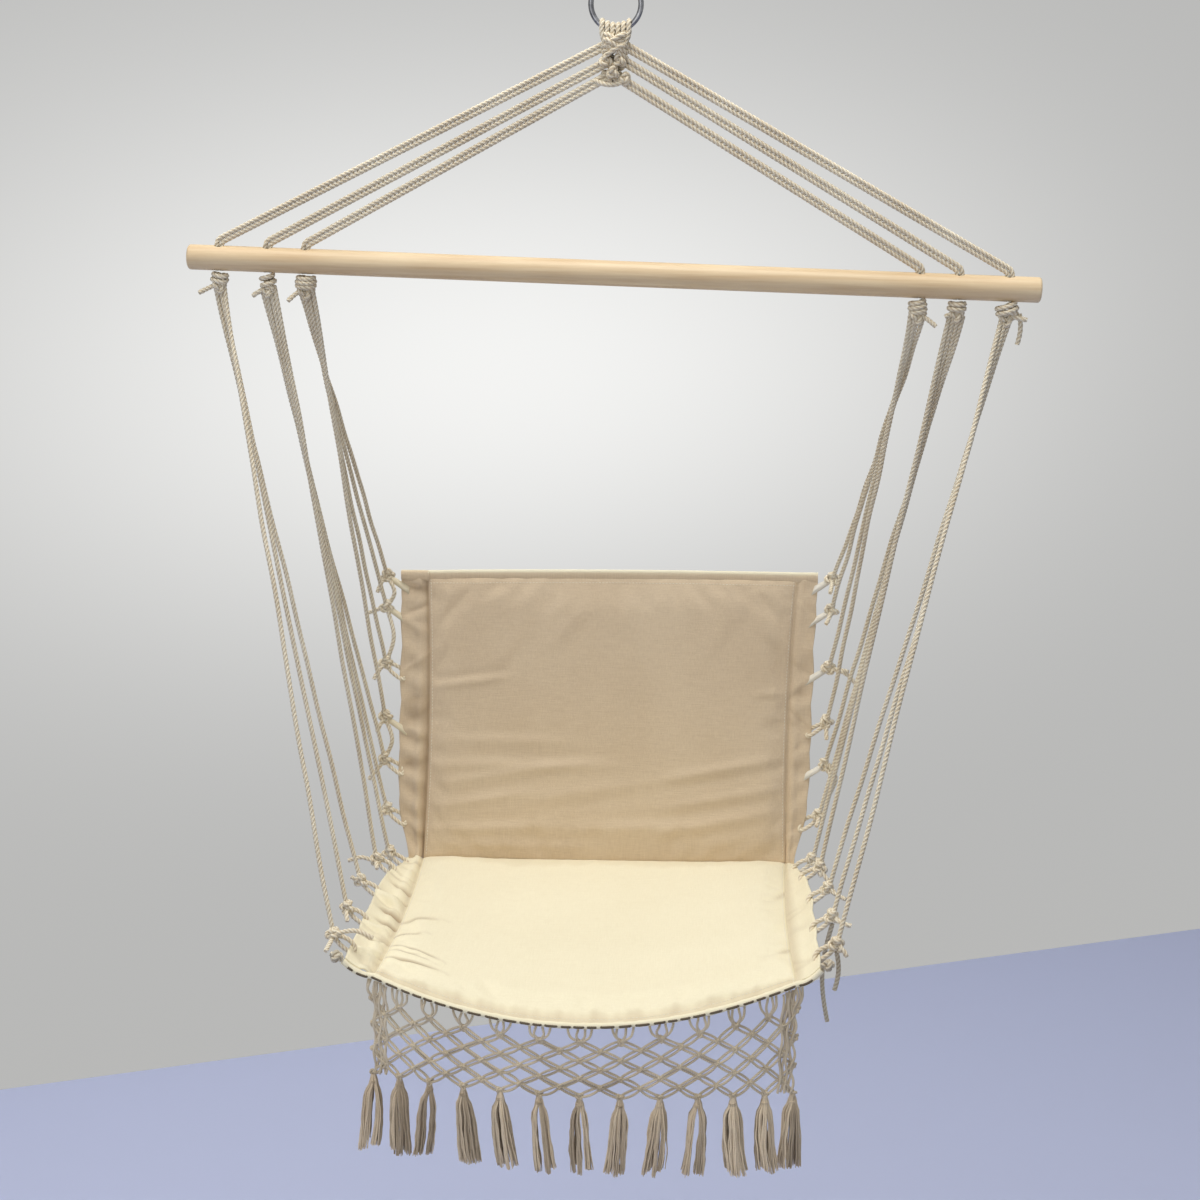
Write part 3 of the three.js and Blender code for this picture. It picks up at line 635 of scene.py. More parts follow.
def smooth_path(corners, count):
    """A soft curve through the corners: a spline on the distance along them."""
    corners = np.array([tuple(c) for c in corners], float)
    gaps = np.linalg.norm(np.diff(corners, axis=0), axis=1)
    stops = np.concatenate([[0], np.cumsum(gaps)]) / gaps.sum()
    slopes = np.gradient(corners, stops, axis=0)
    shares = np.linspace(0, 1, count)
    slot = np.clip(np.searchsorted(stops, shares, side="right") - 1, 0, len(stops) - 2)
    width = (stops[slot + 1] - stops[slot])[:, None]
    t = ((shares - stops[slot])[:, None]) / width
    from_places = (2*t**3 - 3*t**2 + 1) * corners[slot], (-2*t**3 + 3*t**2) * corners[slot + 1]
    leave, arrive = slopes[slot] * width, slopes[slot + 1] * width
    from_slopes = (t**3 - 2*t**2 + t) * leave, (t**3 - t**2) * arrive
    return from_places[0] + from_slopes[0] + from_places[1] + from_slopes[1]


print("paths become cords")

# %% [markdown]
# ## The loose tails
# Three ends of cord hang free on the right: two from the last ties of the seat and one at the bar's
# end. They are the only cords that nothing holds at both ends, so their length is a fact of the object:
# 122, 46 and 34 mm, all of it in the photograph. Four more ends stick out of ties, stiff and short.
# A tail could be simulated, but such short ends barely bend, so each follows a path of its own.

# %% Tails
TAIL_SWAY = 0.07
TAIL_POINTS = 20


def tail_points(knot, knot_diameter, length, sway):
    top = Vector(knot) - Vector((0, 0, knot_diameter / 2 + GAP))
    shares = [step / (TAIL_POINTS - 1) for step in range(TAIL_POINTS)]
    return [
        top + Vector((sway * TAIL_SWAY * length * math.sin(math.pi * s), 0, -length * s)) for s in shares
    ]


left_ties = [knot for _, knot in ties_of(-1)]
right_ties = [knot for _, knot in ties_of(1)]
bar_knot = on_bar(HOLE_X[0], -STOPPER_DROP)
bar_knot.x += STOPPER / 2 + CORD / 2 + GAP - STOPPER / 2 * 0.12
# The two tails at the ties take a tone of 0.72: painted shade under the seat.
TAILS = {  # the knot that each leaves, the knot's size, the tail's length, sway and tone
    "long": (right_ties[-2], TIE_KNOT, 0.122, -1, 0.72),
    "short": (right_ties[-1], TIE_KNOT, 0.046, 1, 0.72),
    "bar": (bar_knot, 0, 0.034, 1, 1.0),
}
for name, (knot, size, length, sway, tone) in TAILS.items():
    points = tail_points(knot, size, length, sway)
    tail = cord_piece(f"cut_tail_right_{name}", [(points, False, 1.0, tone)])
    fit(tail, "sling", "cotton_cord", f"loose_tail_right_{name}")

# %% Stray ends
STRAYS = {  # the knot that each sticks out of, and three steps from its middle, in millimetres
    "right_third": (right_ties[2], (6, -4, 1), (20, -7, -3), (36, -8, -18)),
    "right_fifth": (right_ties[4], (4, -4, 4), (14, -8, -12), (8, -10, -34)),
    "left_corner": (left_ties[-1], (4, -4, 5), (26, -6, 10), (46, -8, 3)),
    "left_crease": (left_ties[-4], (-4, -5, 1), (-17, -8, 6), (-34, -8, 1)),
}
for name, (knot, *steps) in STRAYS.items():
    corners = [Vector(knot) + Vector([value / 1000 for value in step]) for step in steps]
    points = [Vector(point) for point in smooth_path(corners, TAIL_POINTS)]
    stray = fit(cord_piece(f"stray_{name}", [(points, False, 1.0)]), "sling", "cotton_cord")
    length = sum((b - a).length for a, b in zip(points, points[1:]))
    print(name, round(length * 1000), "mm")

# %% [markdown]
# ## Knots
# A knot drawn up tight shows turns of cord crossing each other. Sculpted balls would show no cord, so
# each knot here is cord too. An overhand knot follows the trefoil, the simplest closed curve that is
# knotted. A stopper knot, made by winding the cord round itself, follows a coil that returns inside.

# %% Overhand knots
def overhand(centre, diameter, turn, cord=CORD, count=44, rise=1.0):
    """A closed trefoil path whose cord just fills a ball of the diameter."""
    radius = (diameter - cord) / 2
    path = []
    for step in range(count):
        t = 2 * math.pi * step / count
        flat = Vector((
            (math.sin(t) + 2 * math.sin(2 * t)) / 3,
            (math.cos(t) - 2 * math.cos(2 * t)) / 3,
            0,
        )) * radius
        flat.z = -math.sin(3 * t) * cord * 0.5 * rise
        path.append(Vector(centre) + turn @ flat)
    return path, True, 1.0


print("a trefoil crosses itself three times")

# %% Wound knots, and how a knot may lie
def wound_knot(centre, diameter, height, turn, turns=3, cord=CORD, inner=0.34, count=90):
    """A closed coil: it climbs outside round the axis and comes back down inside."""
    radius = (diameter - cord) / 2
    climb = (height - cord) / 2
    path = []
    for step in range(count):
        share = step / count
        if share < 0.8:
            part = share / 0.8
            angle, level, reach = 2 * math.pi * turns * part, -1 + 2 * part, 1.0
        else:
            part = (share - 0.8) / 0.2
            angle, level = 2 * math.pi * (turns + part), 1 - 2 * part
            reach = 1 - (1 - inner) * math.sin(math.pi * part)
        bulge = reach * (1 - 0.12 * level * level)
        spot = Vector((
            radius * bulge * math.cos(angle), radius * bulge * math.sin(angle), climb * level,
        ))
        path.append(Vector(centre) + turn @ spot)
    return path, True, 1.0


def tilted(rng, lean):
    angles = [rng.uniform(-lean, lean) for _ in range(2)]
    return Euler((angles[0], angles[1], rng.uniform(0, 2 * math.pi))).to_matrix()


def facing(rng, pitch, roll, yaw):
    """A turn that shows a flat knot's face to the front, give or take these angles."""
    angles = [rng.uniform(-limit, limit) for limit in (pitch, roll, yaw)]
    return Euler((1.57 + angles[0], angles[1], angles[2])).to_matrix()


print("knots are closed cord paths")

# %% [markdown]
# ## The ring and the head of knots
# The ring is bent from 6 mm steel bar. Its solid has few faces, so a finer one is made here. Below it
# the cords loop over the ring side by side and are gathered by knots in three rows, from which they
# leave to both sides. The loops are short paths over the wire, and the knots are those of the last step.

# %% Ring
def torus_mesh(name, radius, wire, centre_z, around=96, section=24):
    u = np.linspace(0, 2 * np.pi, around, endpoint=False)[:, None]
    v = np.linspace(0, 2 * np.pi, section, endpoint=False)[None, :]
    reach = radius + wire / 2 * np.cos(v)
    places = np.stack(np.broadcast_arrays(
        reach * np.cos(u), wire / 2 * np.sin(v), centre_z + reach * np.sin(u)), axis=-1).reshape(-1, 3)
    faces = []
    for i in range(around):
        for j in range(section):
            a, b = i * section + j, i * section + (j + 1) % section
            c, d = ((i + 1) % around) * section + (j + 1) % section, ((i + 1) % around) * section + j
            faces.append((a, b, c, d))
    return mesh_of(name, places, faces)


ring_mesh = faced(torus_mesh("steel_ring", RING_RADIUS, RING_WIRE, RING_CENTRE_Z), steel)
fit(placed("steel_ring", ring_mesh), "ring", "ring_steel", "hanging_ring")

# %% Loops over the ring
def head_row(row):
    shift = HEAD_SHIFTS[row] * HEAD_KNOT_WIDTH
    return shift, HEAD_TOP_Z - HEAD_ROW * (row + 0.5) - GAP * row


def ring_loop(x, spread):
    """Over the wire and down at both sides, pulled together where the first knot grips it."""
    loop_radius = RING_WIRE / 2 + GAP + CORD / 2
    lift = RING_RADIUS - math.sqrt(RING_RADIUS**2 - x**2)
    top = RING_BOTTOM_Z + lift
    end = HEAD_TOP_Z - HEAD_ROW * 0.6
    points = [(x * spread, -loop_radius * 1.3, end), (x, -loop_radius * 1.15, top - 0.006)]
    for step in range(7):
        angle = math.pi * step / 6
        points.append((x, -loop_radius * math.cos(angle), top + loop_radius * math.sin(angle)))
    points += [(x, loop_radius * 1.15, top - 0.006), (x * spread, loop_radius * 1.3, end)]
    return smooth_path(points, 60), False, 1.0


print("rows of the head at z", [round(head_row(row)[1], 4) for row in range(3)])

# %% Knots of the head
HEAD_SEED = 11


def head_pieces():
    """Six loops and two crossed bands at the top, then knots in two rows and a cord across below."""
    rng = random.Random(HEAD_SEED)
    upper = [ring_loop(x, 0.62) for x in (-0.0145, -0.0087, -0.0029, 0.0029, 0.0087, 0.0145)]
    for face in (-1, 1):
        for side in (-1, 1):
            for step, level in enumerate((0.004, -0.0015, -0.007)):
                depth = face * (0.0095 + 0.0022 * ((step + (side > 0)) % 2))
                band = smooth_path([
                    (side * 0.0125, face * 0.004, -0.0595 + level),
                    (side * 0.008, depth, -0.0600 + level),
                    (-side * 0.001, depth * 1.12, -0.0650 + level),
                    (-side * 0.009, depth * 0.8, -0.0705 + level),
                    (-side * 0.0125, face * 0.001, -0.0730 + level),
                ], 44)
                upper.append((band, False, 1.0))
    middle, lower = [], []
    for x, y, z, size, knots in (
        (-0.0088, -0.0066, -0.0832, 0.0178, middle), (0.0052, -0.0072, -0.0826, 0.0176, middle),
        (-0.0070, 0.0062, -0.0840, 0.0180, middle), (0.0072, 0.0060, -0.0846, 0.0178, middle),
        (-0.0012, -0.0096, -0.0952, 0.0160, lower), (0.0112, -0.0046, -0.1015, 0.0158, lower),
        (-0.0095, 0.0030, -0.1010, 0.0170, lower), (0.0042, 0.0064, -0.1015, 0.0175, lower),
    ):
        turn = facing(rng, 0.35, 0.3, 0.3) @ Matrix.Rotation(rng.uniform(0, 2), 3, "Z")
        knots.append(overhand((x, y, z), size, turn, rise=1.25))
    lower.append((smooth_path([
        (-0.0200, -0.001, -0.1045), (-0.011, -0.0072, -0.1075), (0.001, -0.0092, -0.1078),
        (0.009, -0.0070, -0.1050), (0.0145, -0.001, -0.1010)], 44), False, 1.0))
    return {"head_loops": upper, "head_knots_middle": middle, "head_knots_lower": lower}


for node, runs in head_pieces().items():
    fit(cord_piece(node.replace("head", "tied_head"), runs), "hanger", "cotton_cord", node)

# %% [markdown]
# ## Upper cords
# Two cords go from the head to each hole of the bar, over the rim of the hole and down through it.
# Each is a taut straight run with a small bend at the rim, as the solid is. It starts inside its knot,
# so that no end shows there, and stops at the bar's underside, where the stopper knot begins.

# %% Upper cords in pairs
HEAD_TUCK = 0.009


def upper_route(side, hole, strand):
    shift, centre_z = head_row(hole)
    offset = (strand - 0.5) * PAIR_PITCH
    head = Vector((
        shift + side * HEAD_KNOT_WIDTH / 2, 0, centre_z - HEAD_ROW * (HEAD_LEAVE_DROP - 0.5)
    ))
    corner = on_bar(side * HOLE_X[hole], BAR_RADIUS + CORD_BEND)
    away = (head - corner).normalized()
    across = Vector((side * away.z, 0, -side * away.x))
    slide = (side * offset - across.x * offset) / away.x
    strand_corner = corner + across * offset + away * slide
    hole_x = side * (HOLE_X[hole] + offset)
    low, rim = on_bar(hole_x, -BAR_RADIUS), on_bar(hole_x, BAR_RADIUS)
    leave = strand_corner + away * (strand_corner - rim).length
    bend = [
        rim * (1 - t) ** 2 + strand_corner * 2 * t * (1 - t) + leave * t * t
        for t in (step / 10 for step in range(11))
    ]
    return [low, *bend, head + across * offset + away * HEAD_TUCK]


for side, side_name in SIDES:
    for hole, hole_name in enumerate(HOLES):
        routes = [(upper_route(side, hole, strand), False, 1.0) for strand in (0, 1)]
        stem = f"upper_cord_{side_name}_{hole_name}"
        pair = cord_piece(f"taut_pair_{side_name}_{hole_name}", routes)
        fit(pair, "hanger", "cotton_cord", stem + "_a", stem + "_b")

# %% [markdown]
# ## The fans of cord below the bar
# Under each hole the cords end in a stopper knot, and three or four cords fan out from it to the side
# of the canvas. Each is tied there in a knot with a short cut end. A simulation would only pull them
# straight, since they carry the sitter, so they are drawn as runs from knot to knot. Hand-tied cords
# are never quite even, so each bows by a millimetre or two.

# %% Runs of cord and cut ends
BOW = 0.0024


def fan_run(start, end, rng):
    shares = np.linspace(0, 1, 60)[:, None]
    line = np.array(start) + (np.array(end) - np.array(start)) * shares
    for waves, size in ((1, 1.0), (3, 0.4), (7, 0.28), (12, 0.16)):
        bow = np.array([rng.uniform(-BOW, BOW) for _ in range(3)]) * size
        line = line + np.sin(waves * np.pi * shares) * bow
    return line


def cut_end(knot, direction, length, rng):
    direction = Vector(direction).normalized()
    curl = Vector([rng.uniform(-1, 1) for _ in range(3)]) * length * 0.3
    points = [
        Vector(knot) + direction * length * s + curl * s * s - Vector((0, 0, 0.2 * length)) * s * s
        for s in (step / 9 for step in range(10))
    ]
    return points, False, np.array([1.0] * 8 + [1.08, 0.9])


print("a cord of a fan bows by up to", BOW * 1000, "mm")

# %% Ties at the canvas
TIE_KNOT_SEEN = 0.0195
TAPED = {-1: (0, 1, 3), 1: (0, 1, 2, 4)}  # the ties that hold a tape, from the top down


def tie_knot(knot, side, rng):
    """An overhand knot drawn out sideways, a hitch above it and a cut end."""
    wide = Matrix.Diagonal((1.15, 1.0, 0.8))
    turn = wide @ facing(rng, 0.5, 0.5, 0.5) @ Matrix.Rotation(rng.uniform(0, 2), 3, "Z")
    runs = [overhand(knot, TIE_KNOT_SEEN, turn, rise=1.2)]
    above = Vector(knot) + Vector((-side * 0.0008, 0, 0.0068))
    runs.append(wound_knot(above, 0.0125, 0.0075, tilted(rng, 0.35), 1, count=40))
    droop = Vector((side * rng.uniform(-0.3, 1), rng.uniform(-1.0, 0.1), rng.uniform(-1, 0.2)))
    runs.append(cut_end(knot, droop, rng.uniform(0.014, 0.027), rng))
    return runs


def rope_eye(edge, knot, rng):
    """The cord's own loop through the flap's edge, where no tape takes it."""
    edge, knot = Vector(edge), Vector(knot)
    hold = edge + (edge - knot) * 0.3
    part = Vector((0, rng.uniform(0.002, 0.004), rng.uniform(0.002, 0.005)))
    middle = (edge + knot) / 2
    loop = [knot, middle + part, hold + part * 0.4, hold - part * 0.6, middle - part, knot]
    return smooth_path(loop, 50), False, 1.0


print("ties with a tape:", {name: len(TAPED[side]) for side, name in SIDES})

# %% A fan below each hole
FAN_SEED = 23
CORD_SPREAD = 0.95
STOPPERS = {  # width, height, turns and lean of each stopper knot, as the photograph shows them
    -1: ((0.021, 0.017, 2, 0.30), (0.020, 0.020, 2, -0.10), (0.025, 0.019, 3, 0.12)),
    1: ((0.027, 0.017, 2, -0.22), (0.022, 0.016, 2, 0.16), (0.022, 0.020, 3, -0.12)),
}


def fan(side, hole, rng):
    """The stopper knot under a hole, its cords and their ties, as runs of cord."""
    centre = on_bar(side * HOLE_X[hole], -STOPPER_DROP)
    ties = ties_of(side)
    last = len(ties) - sum(BUNDLE_TIES[:hole])
    first = last - BUNDLE_TIES[hole]
    width, height, turns, roll = STOPPERS[side][hole]
    lean = Euler((rng.uniform(-0.15, 0.15), roll, 0)).to_matrix()
    top = centre + Vector((0, 0, STOPPER / 2 - height / 2))
    under = Euler((1.4, 0, rng.uniform(-0.4, 0.4))).to_matrix()
    out = (rng.choice((-1, 1)), -0.5, -0.3)
    runs = [
        wound_knot(top, width, height, lean, turns),
        overhand(top + Vector((0, -0.003, -height / 2)), width * 0.82, under),
        cut_end(top - Vector((0, 0, height / 3)), out, 0.019, rng),
    ]
    for strand, (edge, knot) in enumerate(ties[first:last]):
        spread = (strand - (last - first - 1) / 2) * CORD * CORD_SPREAD
        start = centre + Vector((-side * spread, 0, -CORD))
        runs.append((fan_run(start, knot, rng), False, 1.0))
        runs.extend(tie_knot(knot, side, rng))
        if first + strand not in TAPED[side]:
            runs.append(rope_eye(edge, knot, rng))
        elif side < 0:
            _, below = ties[first + strand + 1]
            slack = (knot + below) / 2 + Vector((0.010, -0.004, 0))
            runs.append((smooth_path([knot, slack, below], 40), False, 1.0))
    return runs


rng = random.Random(FAN_SEED)
for side, side_name in SIDES:
    for hole, hole_name in enumerate(HOLES):
        bundle = cord_piece(f"fan_{side_name}_{hole_name}", fan(side, hole, rng))
        fit(bundle, "sling", "cotton_cord", f"cord_bundle_{side_name}_{hole_name}")

# %% [markdown]
# ## The spreader bar
# A turned hardwood rod with softened ends and six holes. Its outline is a lathe shape, so the rod is
# one profile turned round its axis with enough faces to look round. The holes are cut by a boolean
# with cylinders, because a cord is seen going over each rim.

# %% The bar's outline, turned round
BAR_SIDES = 72


def lathe(profile, sides):
    """Places and faces of a closed profile of (distance along X, radius), turned round X."""
    places, faces = [], []
    for x, radius in profile:
        for side in range(sides):
            angle = 2 * math.pi * side / sides
            places.append((x, radius * math.cos(angle), radius * math.sin(angle)))
    for ring in range(len(profile) - 1):
        for side in range(sides):
            a, b = ring * sides + side, ring * sides + (side + 1) % sides
            faces.append((a, b, b + sides, a + sides))
    faces.append(tuple(range(sides)))
    faces.append(tuple(range((len(profile) - 1) * sides, len(profile) * sides)))
    return places, faces


def bar_profile():
    """Both ends rounded, and rings of points between them."""
    half, straight = BAR_LENGTH / 2, BAR_LENGTH - 2 * BAR_ROUNDING
    angles = [math.pi / 2 * step / 5 for step in range(6)]
    ends = [
        (-half + BAR_ROUNDING * (1 - math.cos(a)), BAR_RADIUS - BAR_ROUNDING * (1 - math.sin(a)))
        for a in angles
    ]
    middle = [(-half + BAR_ROUNDING + straight * step / 24, BAR_RADIUS) for step in range(1, 24)]
    return ends + middle + [(-x, radius) for x, radius in reversed(ends)]


print("rings along the bar:", len(bar_profile()))

# %% Bar with its holes
rod = placed("rod_work", faced(mesh_of("spreader_rod", *lathe(bar_profile(), BAR_SIDES)), wood))
cutters = []
for side in (-1, 1):
    for x in HOLE_X:
        bpy.ops.mesh.primitive_cylinder_add(
            vertices=32, radius=HOLE_DIAMETER / 2, depth=4 * BAR_RADIUS, location=(side * x, 0, 0))
        cutters.append(bpy.context.object)
bpy.ops.object.select_all(action="DESELECT")
for cutter in cutters:
    cutter.select_set(True)
bpy.context.view_layer.objects.active = cutters[0]
bpy.ops.object.join()
cut = rod.modifiers.new("holes", "BOOLEAN")
cut.operation, cut.object, cut.solver = "DIFFERENCE", cutters[0], "EXACT"
bar = settled("spreader_rod", rod)
bpy.data.objects.remove(cutters[0])
bar.data.transform(Matrix.Translation((0, 0, BAR_Z)) @ Matrix.Rotation(BAR_TILT, 4, "Y"))
bar.data.materials.clear()
bar.data.materials.append(wood)
bar.data.shade_smooth()
bar.data.set_sharp_from_angle(angle=math.radians(40))
fit(bar, "hanger", "natural_wood", "spreader_bar")

# %% [markdown]
# ## Padded back and seat
# Each panel is two layers of canvas sewn round the edge over a filling. The sewn edge stays put and
# the faces swell between the seams. That is what a cloth simulation does well, so a thin pad is made
# on a regular grid, its edge is pinned, and pressure inside blows it up while the cloth is a little
# larger than its outline, which gives the puckers along the seams. A cap keeps it near its solid.

# %% A pad on a grid
PAD_CELL = 0.0062


def pad_grid(surface, thick, start, end, length, fill):
    """A closed slab on a grid: its places, its faces, (x, run, face) of each vertex, and the seam."""
    columns, rows = round(PAD_WIDTH / PAD_CELL), round(length * (end - start) / PAD_CELL)
    spread = np.linspace(-1, 1, columns + 1)
    along = np.linspace(start, end, rows + 1)
    grid_spread, grid_along = np.meshgrid(spread, along)
    x = grid_spread * pad_half_width(grid_along)
    edge_across = (1 - np.abs(grid_spread)) * HALF_PAD
    edge_along = np.minimum(grid_along - start, end - grid_along) * length

    def rolled(inset):
        return np.sqrt(1 - (1 - np.minimum(inset / PAD_ROLL, 1)) ** 2)

    swell = (thick * fill - PAD_EDGE) / 2 * rolled(edge_across) * rolled(edge_along)
    layers, marks = [], []
    for face in (1, -1):
        layers.append(surface(x, grid_along, face * (PAD_EDGE / 2 * 0.6 + swell)))
        marks.append(np.stack([x, grid_along * length, np.full_like(x, face)], axis=-1))
    stride, size = columns + 1, (columns + 1) * (rows + 1)
    faces = []
    for row in range(rows):
        for column in range(columns):
            a = row * stride + column
            faces.append((a, a + stride, a + stride + 1, a + 1))
            faces.append((a + size, a + size + 1, a + size + stride + 1, a + size + stride))
    rim = list(range(columns)) + [columns + row * stride for row in range(rows)]
    rim += [rows * stride + column for column in range(columns, 0, -1)]
    rim += [row * stride for row in range(rows, 0, -1)]
    for here, there in zip(rim, rim[1:] + rim[:1]):
        faces.append((here, there, there + size, here + size))
    places = np.concatenate([layer.reshape(-1, 3) for layer in layers])
    marks = np.concatenate([mark.reshape(-1, 3) for mark in marks])
    pinned = sorted(set(rim) | {index + size for index in rim})
    return places, faces, marks, pinned


print("pads are cells of", PAD_CELL * 1000, "mm")

# %% The simulation that fills a pad
SIM_FRAMES = 20
SIM_CAP = 0.004
CLOTH_SETTINGS = {
    "quality": 7, "mass": 0.25, "tension_stiffness": 18, "compression_stiffness": 18,
    "shear_stiffness": 6, "bending_stiffness": 0.6, "vertex_group_mass": "seam", "use_pressure": True,
}


def read_places(mesh):
    flat = np.empty(len(mesh.vertices) * 3)
    mesh.vertices.foreach_get("co", flat)
    return flat.reshape(-1, 3)


def inflated(name, places, faces, pinned, pressure, growth):
    """The slab with its seam held, swollen by pressure, each vertex by no more than the cap."""
    mesh = faced(mesh_of(name, places, faces), seat_canvas)
    pad = placed(name, mesh)
    group = pad.vertex_groups.new(name="seam")
    group.add(pinned, 1.0, "REPLACE")
    cloth = pad.modifiers.new("fill", "CLOTH")
    for field, value in CLOTH_SETTINGS.items():
        setattr(cloth.settings, field, value)
    cloth.settings.uniform_pressure_force = pressure
    cloth.settings.shrink_min = -growth
    cloth.settings.effector_weights.gravity = 0
    cloth.collision_settings.use_self_collision = False
    scene = bpy.context.scene
    cloth.point_cache.frame_start, cloth.point_cache.frame_end = 1, SIM_FRAMES
    for number in range(1, SIM_FRAMES + 1):
        scene.frame_set(number)
    graph = bpy.context.evaluated_depsgraph_get()
    grown = read_places(pad.evaluated_get(graph).data).copy()
    pad.modifiers.clear()
    pad.vertex_groups.clear()
    scene.frame_set(1)
    move = grown - places
    reach = np.linalg.norm(move, axis=1, keepdims=True)
    move *= np.minimum(1, SIM_CAP / np.maximum(reach, 1e-9))
    mesh.vertices.foreach_set("co", (places + move).ravel())
    print(name, "swelled by up to", round(float(reach.max()) * 1000, 1), "mm")
    return pad


print("a pad swells for", SIM_FRAMES, "frames, by no more than", SIM_CAP * 1000, "mm")

# %% [markdown]
# ## Folds in the canvas
# The back shows long shallow folds where the sitter's weight has drawn the canvas, and the seat is
# puckered behind its front edge, in a band that is painted darker as shade. They could be painted as
# bump, but a visible shape has to be in the mesh. So after one subdivision each fold is a soft ridge
# that moves the vertices along a short line, and on the seat its hollow is marked for painted shade.

# %% Ridges along lines
def subdivided(piece, levels=1):
    modifier = piece.modifiers.new("finer", "SUBSURF")
    modifier.levels = modifier.render_levels = levels
    modifier.boundary_smooth = "PRESERVE_CORNERS"
    return settled(piece.name, piece)


def bell(distance, width):
    """1 at no distance, and nothing a few widths away."""
    return np.exp(-((distance / width) ** 2))


def ridge(plan, start, end, width, height):
    """A soft ridge from start to end, which fades at its ends: its height at each point of a plan."""
    start, end = np.array(start), np.array(end)
    run = end - start
    share = ((plan - start) @ run) / (run @ run)
    near = start + np.clip(share, 0, 1)[:, None] * run
    off = np.linalg.norm(plan - near, axis=1)
    fade = np.sin(np.pi * np.clip(share, 0.02, 0.98)) ** 0.7
    side = np.sign((plan - near) @ np.array((-run[1], run[0])))
    ditch = 0.5 * bell(off - 1.8 * width, width) * (side < 0)
    return height * fade * (bell(off, width) - ditch)


print("half a width off, a ridge still has", round(float(bell(0.5, 1.0)), 2), "of its height")

# %% Panels, and marks that ride through the subdivision
def push(piece, marks, heights):
    """Moves the vertices of a pad's upper face along their normals."""
    mesh = piece.data
    places = read_places(mesh)
    normals = np.empty(len(mesh.vertices) * 3)
    mesh.vertices.foreach_get("normal", normals)
    amount = np.where(marks[:, 2] > 0.5, heights, 0)
    mesh.vertices.foreach_set("co", (places + normals.reshape(-1, 3) * amount[:, None]).ravel())
    mesh.update()


MARKS = ("mark_x", "mark_run", "mark_face")


def read_marks(piece):
    """Takes the marks off a mesh again."""
    columns = []
    for name in MARKS:
        layer = piece.data.attributes[name]
        values = np.empty(len(layer.data), np.float32)
        layer.data.foreach_get("value", values)
        columns.append(values.astype(float))
        piece.data.attributes.remove(layer)
    return np.stack(columns, axis=-1)


def panel(name, surface, thick, end, length, fill, pressure, growth):
    """A swollen panel, and (x, run, face) of each vertex, which rides through the subdivision."""
    places, faces, marks, pinned = pad_grid(surface, thick, 0, end, length, fill)
    piece = inflated(name, places, faces, pinned, pressure, growth)
    for mark, values in zip(MARKS, marks.T):
        marked(piece.data, mark, values)
    piece = subdivided(piece)
    return piece, read_marks(piece)


def edge_fade(marks, end, width=0.006):
    """0 at the sewn edge of a pad and 1 inside it."""
    from_side = pad_half_width(marks[:, 1] / end) - np.abs(marks[:, 0])
    from_ends = np.minimum(marks[:, 1], end - marks[:, 1])
    return np.clip(np.minimum(from_side, from_ends) / width, 0, 1)


print("each vertex of a panel carries", MARKS)

# %% Back pad
BACK_FOLDS = [
    # across and down from the top of the back, then width and height
    ((-0.232, 0.138), (-0.120, 0.124), 0.0050, 0.0022),
    ((-0.215, 0.205), (-0.045, 0.206), 0.0070, 0.0013),
    ((-0.228, 0.238), (0.020, 0.236), 0.0075, 0.0020),
    ((-0.228, 0.262), (-0.020, 0.232), 0.0060, 0.0015),
    ((-0.226, 0.292), (-0.080, 0.268), 0.0065, 0.0018),
    ((0.229, 0.222), (0.060, 0.256), 0.0070, 0.0026),
    ((0.060, 0.256), (-0.120, 0.284), 0.0090, 0.0016),
    ((0.228, 0.260), (0.070, 0.290), 0.0070, 0.0020),
    ((0.229, 0.288), (0.050, 0.326), 0.0080, 0.0022),
    ((-0.228, 0.320), (-0.060, 0.314), 0.0065, 0.0017),
    ((-0.060, 0.318), (0.140, 0.312), 0.0075, 0.0015),
    ((-0.228, 0.338), (0.000, 0.342), 0.0060, 0.0012),
    ((-0.112, 0.060), (-0.146, 0.118), 0.0080, 0.0012),
    ((-0.026, 0.030), (-0.080, 0.090), 0.0090, 0.0011),
    ((0.012, 0.012), (0.050, 0.130), 0.0080, 0.0013),
    ((0.228, 0.140), (0.178, 0.144), 0.0045, 0.0013),
    ((0.160, 0.030), (0.110, 0.110), 0.0100, 0.0009),
]
BACK_END = 1.004  # a little past the crease, where it meets the seat
back, marks = panel("back_cushion", back_point, BACK_THICK, BACK_END, BACK_HEIGHT, 0.8, 2.5, 0.012)
heights = sum(ridge(marks[:, :2], *fold) for fold in BACK_FOLDS)
push(back, marks, heights * edge_fade(marks, BACK_END * BACK_HEIGHT))
faced(back.data, back_canvas)
print("folds on the back:", len(BACK_FOLDS))
fit(back, "sling", "cotton_canvas", "back_pad")

# %% Seat pad
SEAT_BAND, GROOVE_DEPTH, PUCKER_HEIGHT = 0.017, 0.0026, 0.0012
SEAT_FOLDS = [
    # across and forward from the crease, then width and height
    ((-0.232, 0.262), (-0.176, 0.236), 0.0045, 0.0016),
    ((-0.232, 0.312), (-0.190, 0.284), 0.0040, 0.0022),
    ((-0.232, 0.334), (-0.166, 0.346), 0.0032, 0.0026),
    ((-0.232, 0.350), (-0.174, 0.356), 0.0030, 0.0018),
    ((-0.232, 0.374), (-0.160, 0.376), 0.0036, 0.0024),
    ((0.232, 0.090), (0.206, 0.150), 0.0045, 0.0012),
    ((0.231, 0.300), (0.205, 0.330), 0.0045, 0.0012),
]
seat, marks = panel("seat_cushion", seat_point, SEAT_THICK, 1, SEAT_DEPTH, 0.78, 3.0, 0.010)
x, from_front, above = marks[:, 0], SEAT_DEPTH - marks[:, 1], marks[:, 2] > 0
rng = random.Random(5)
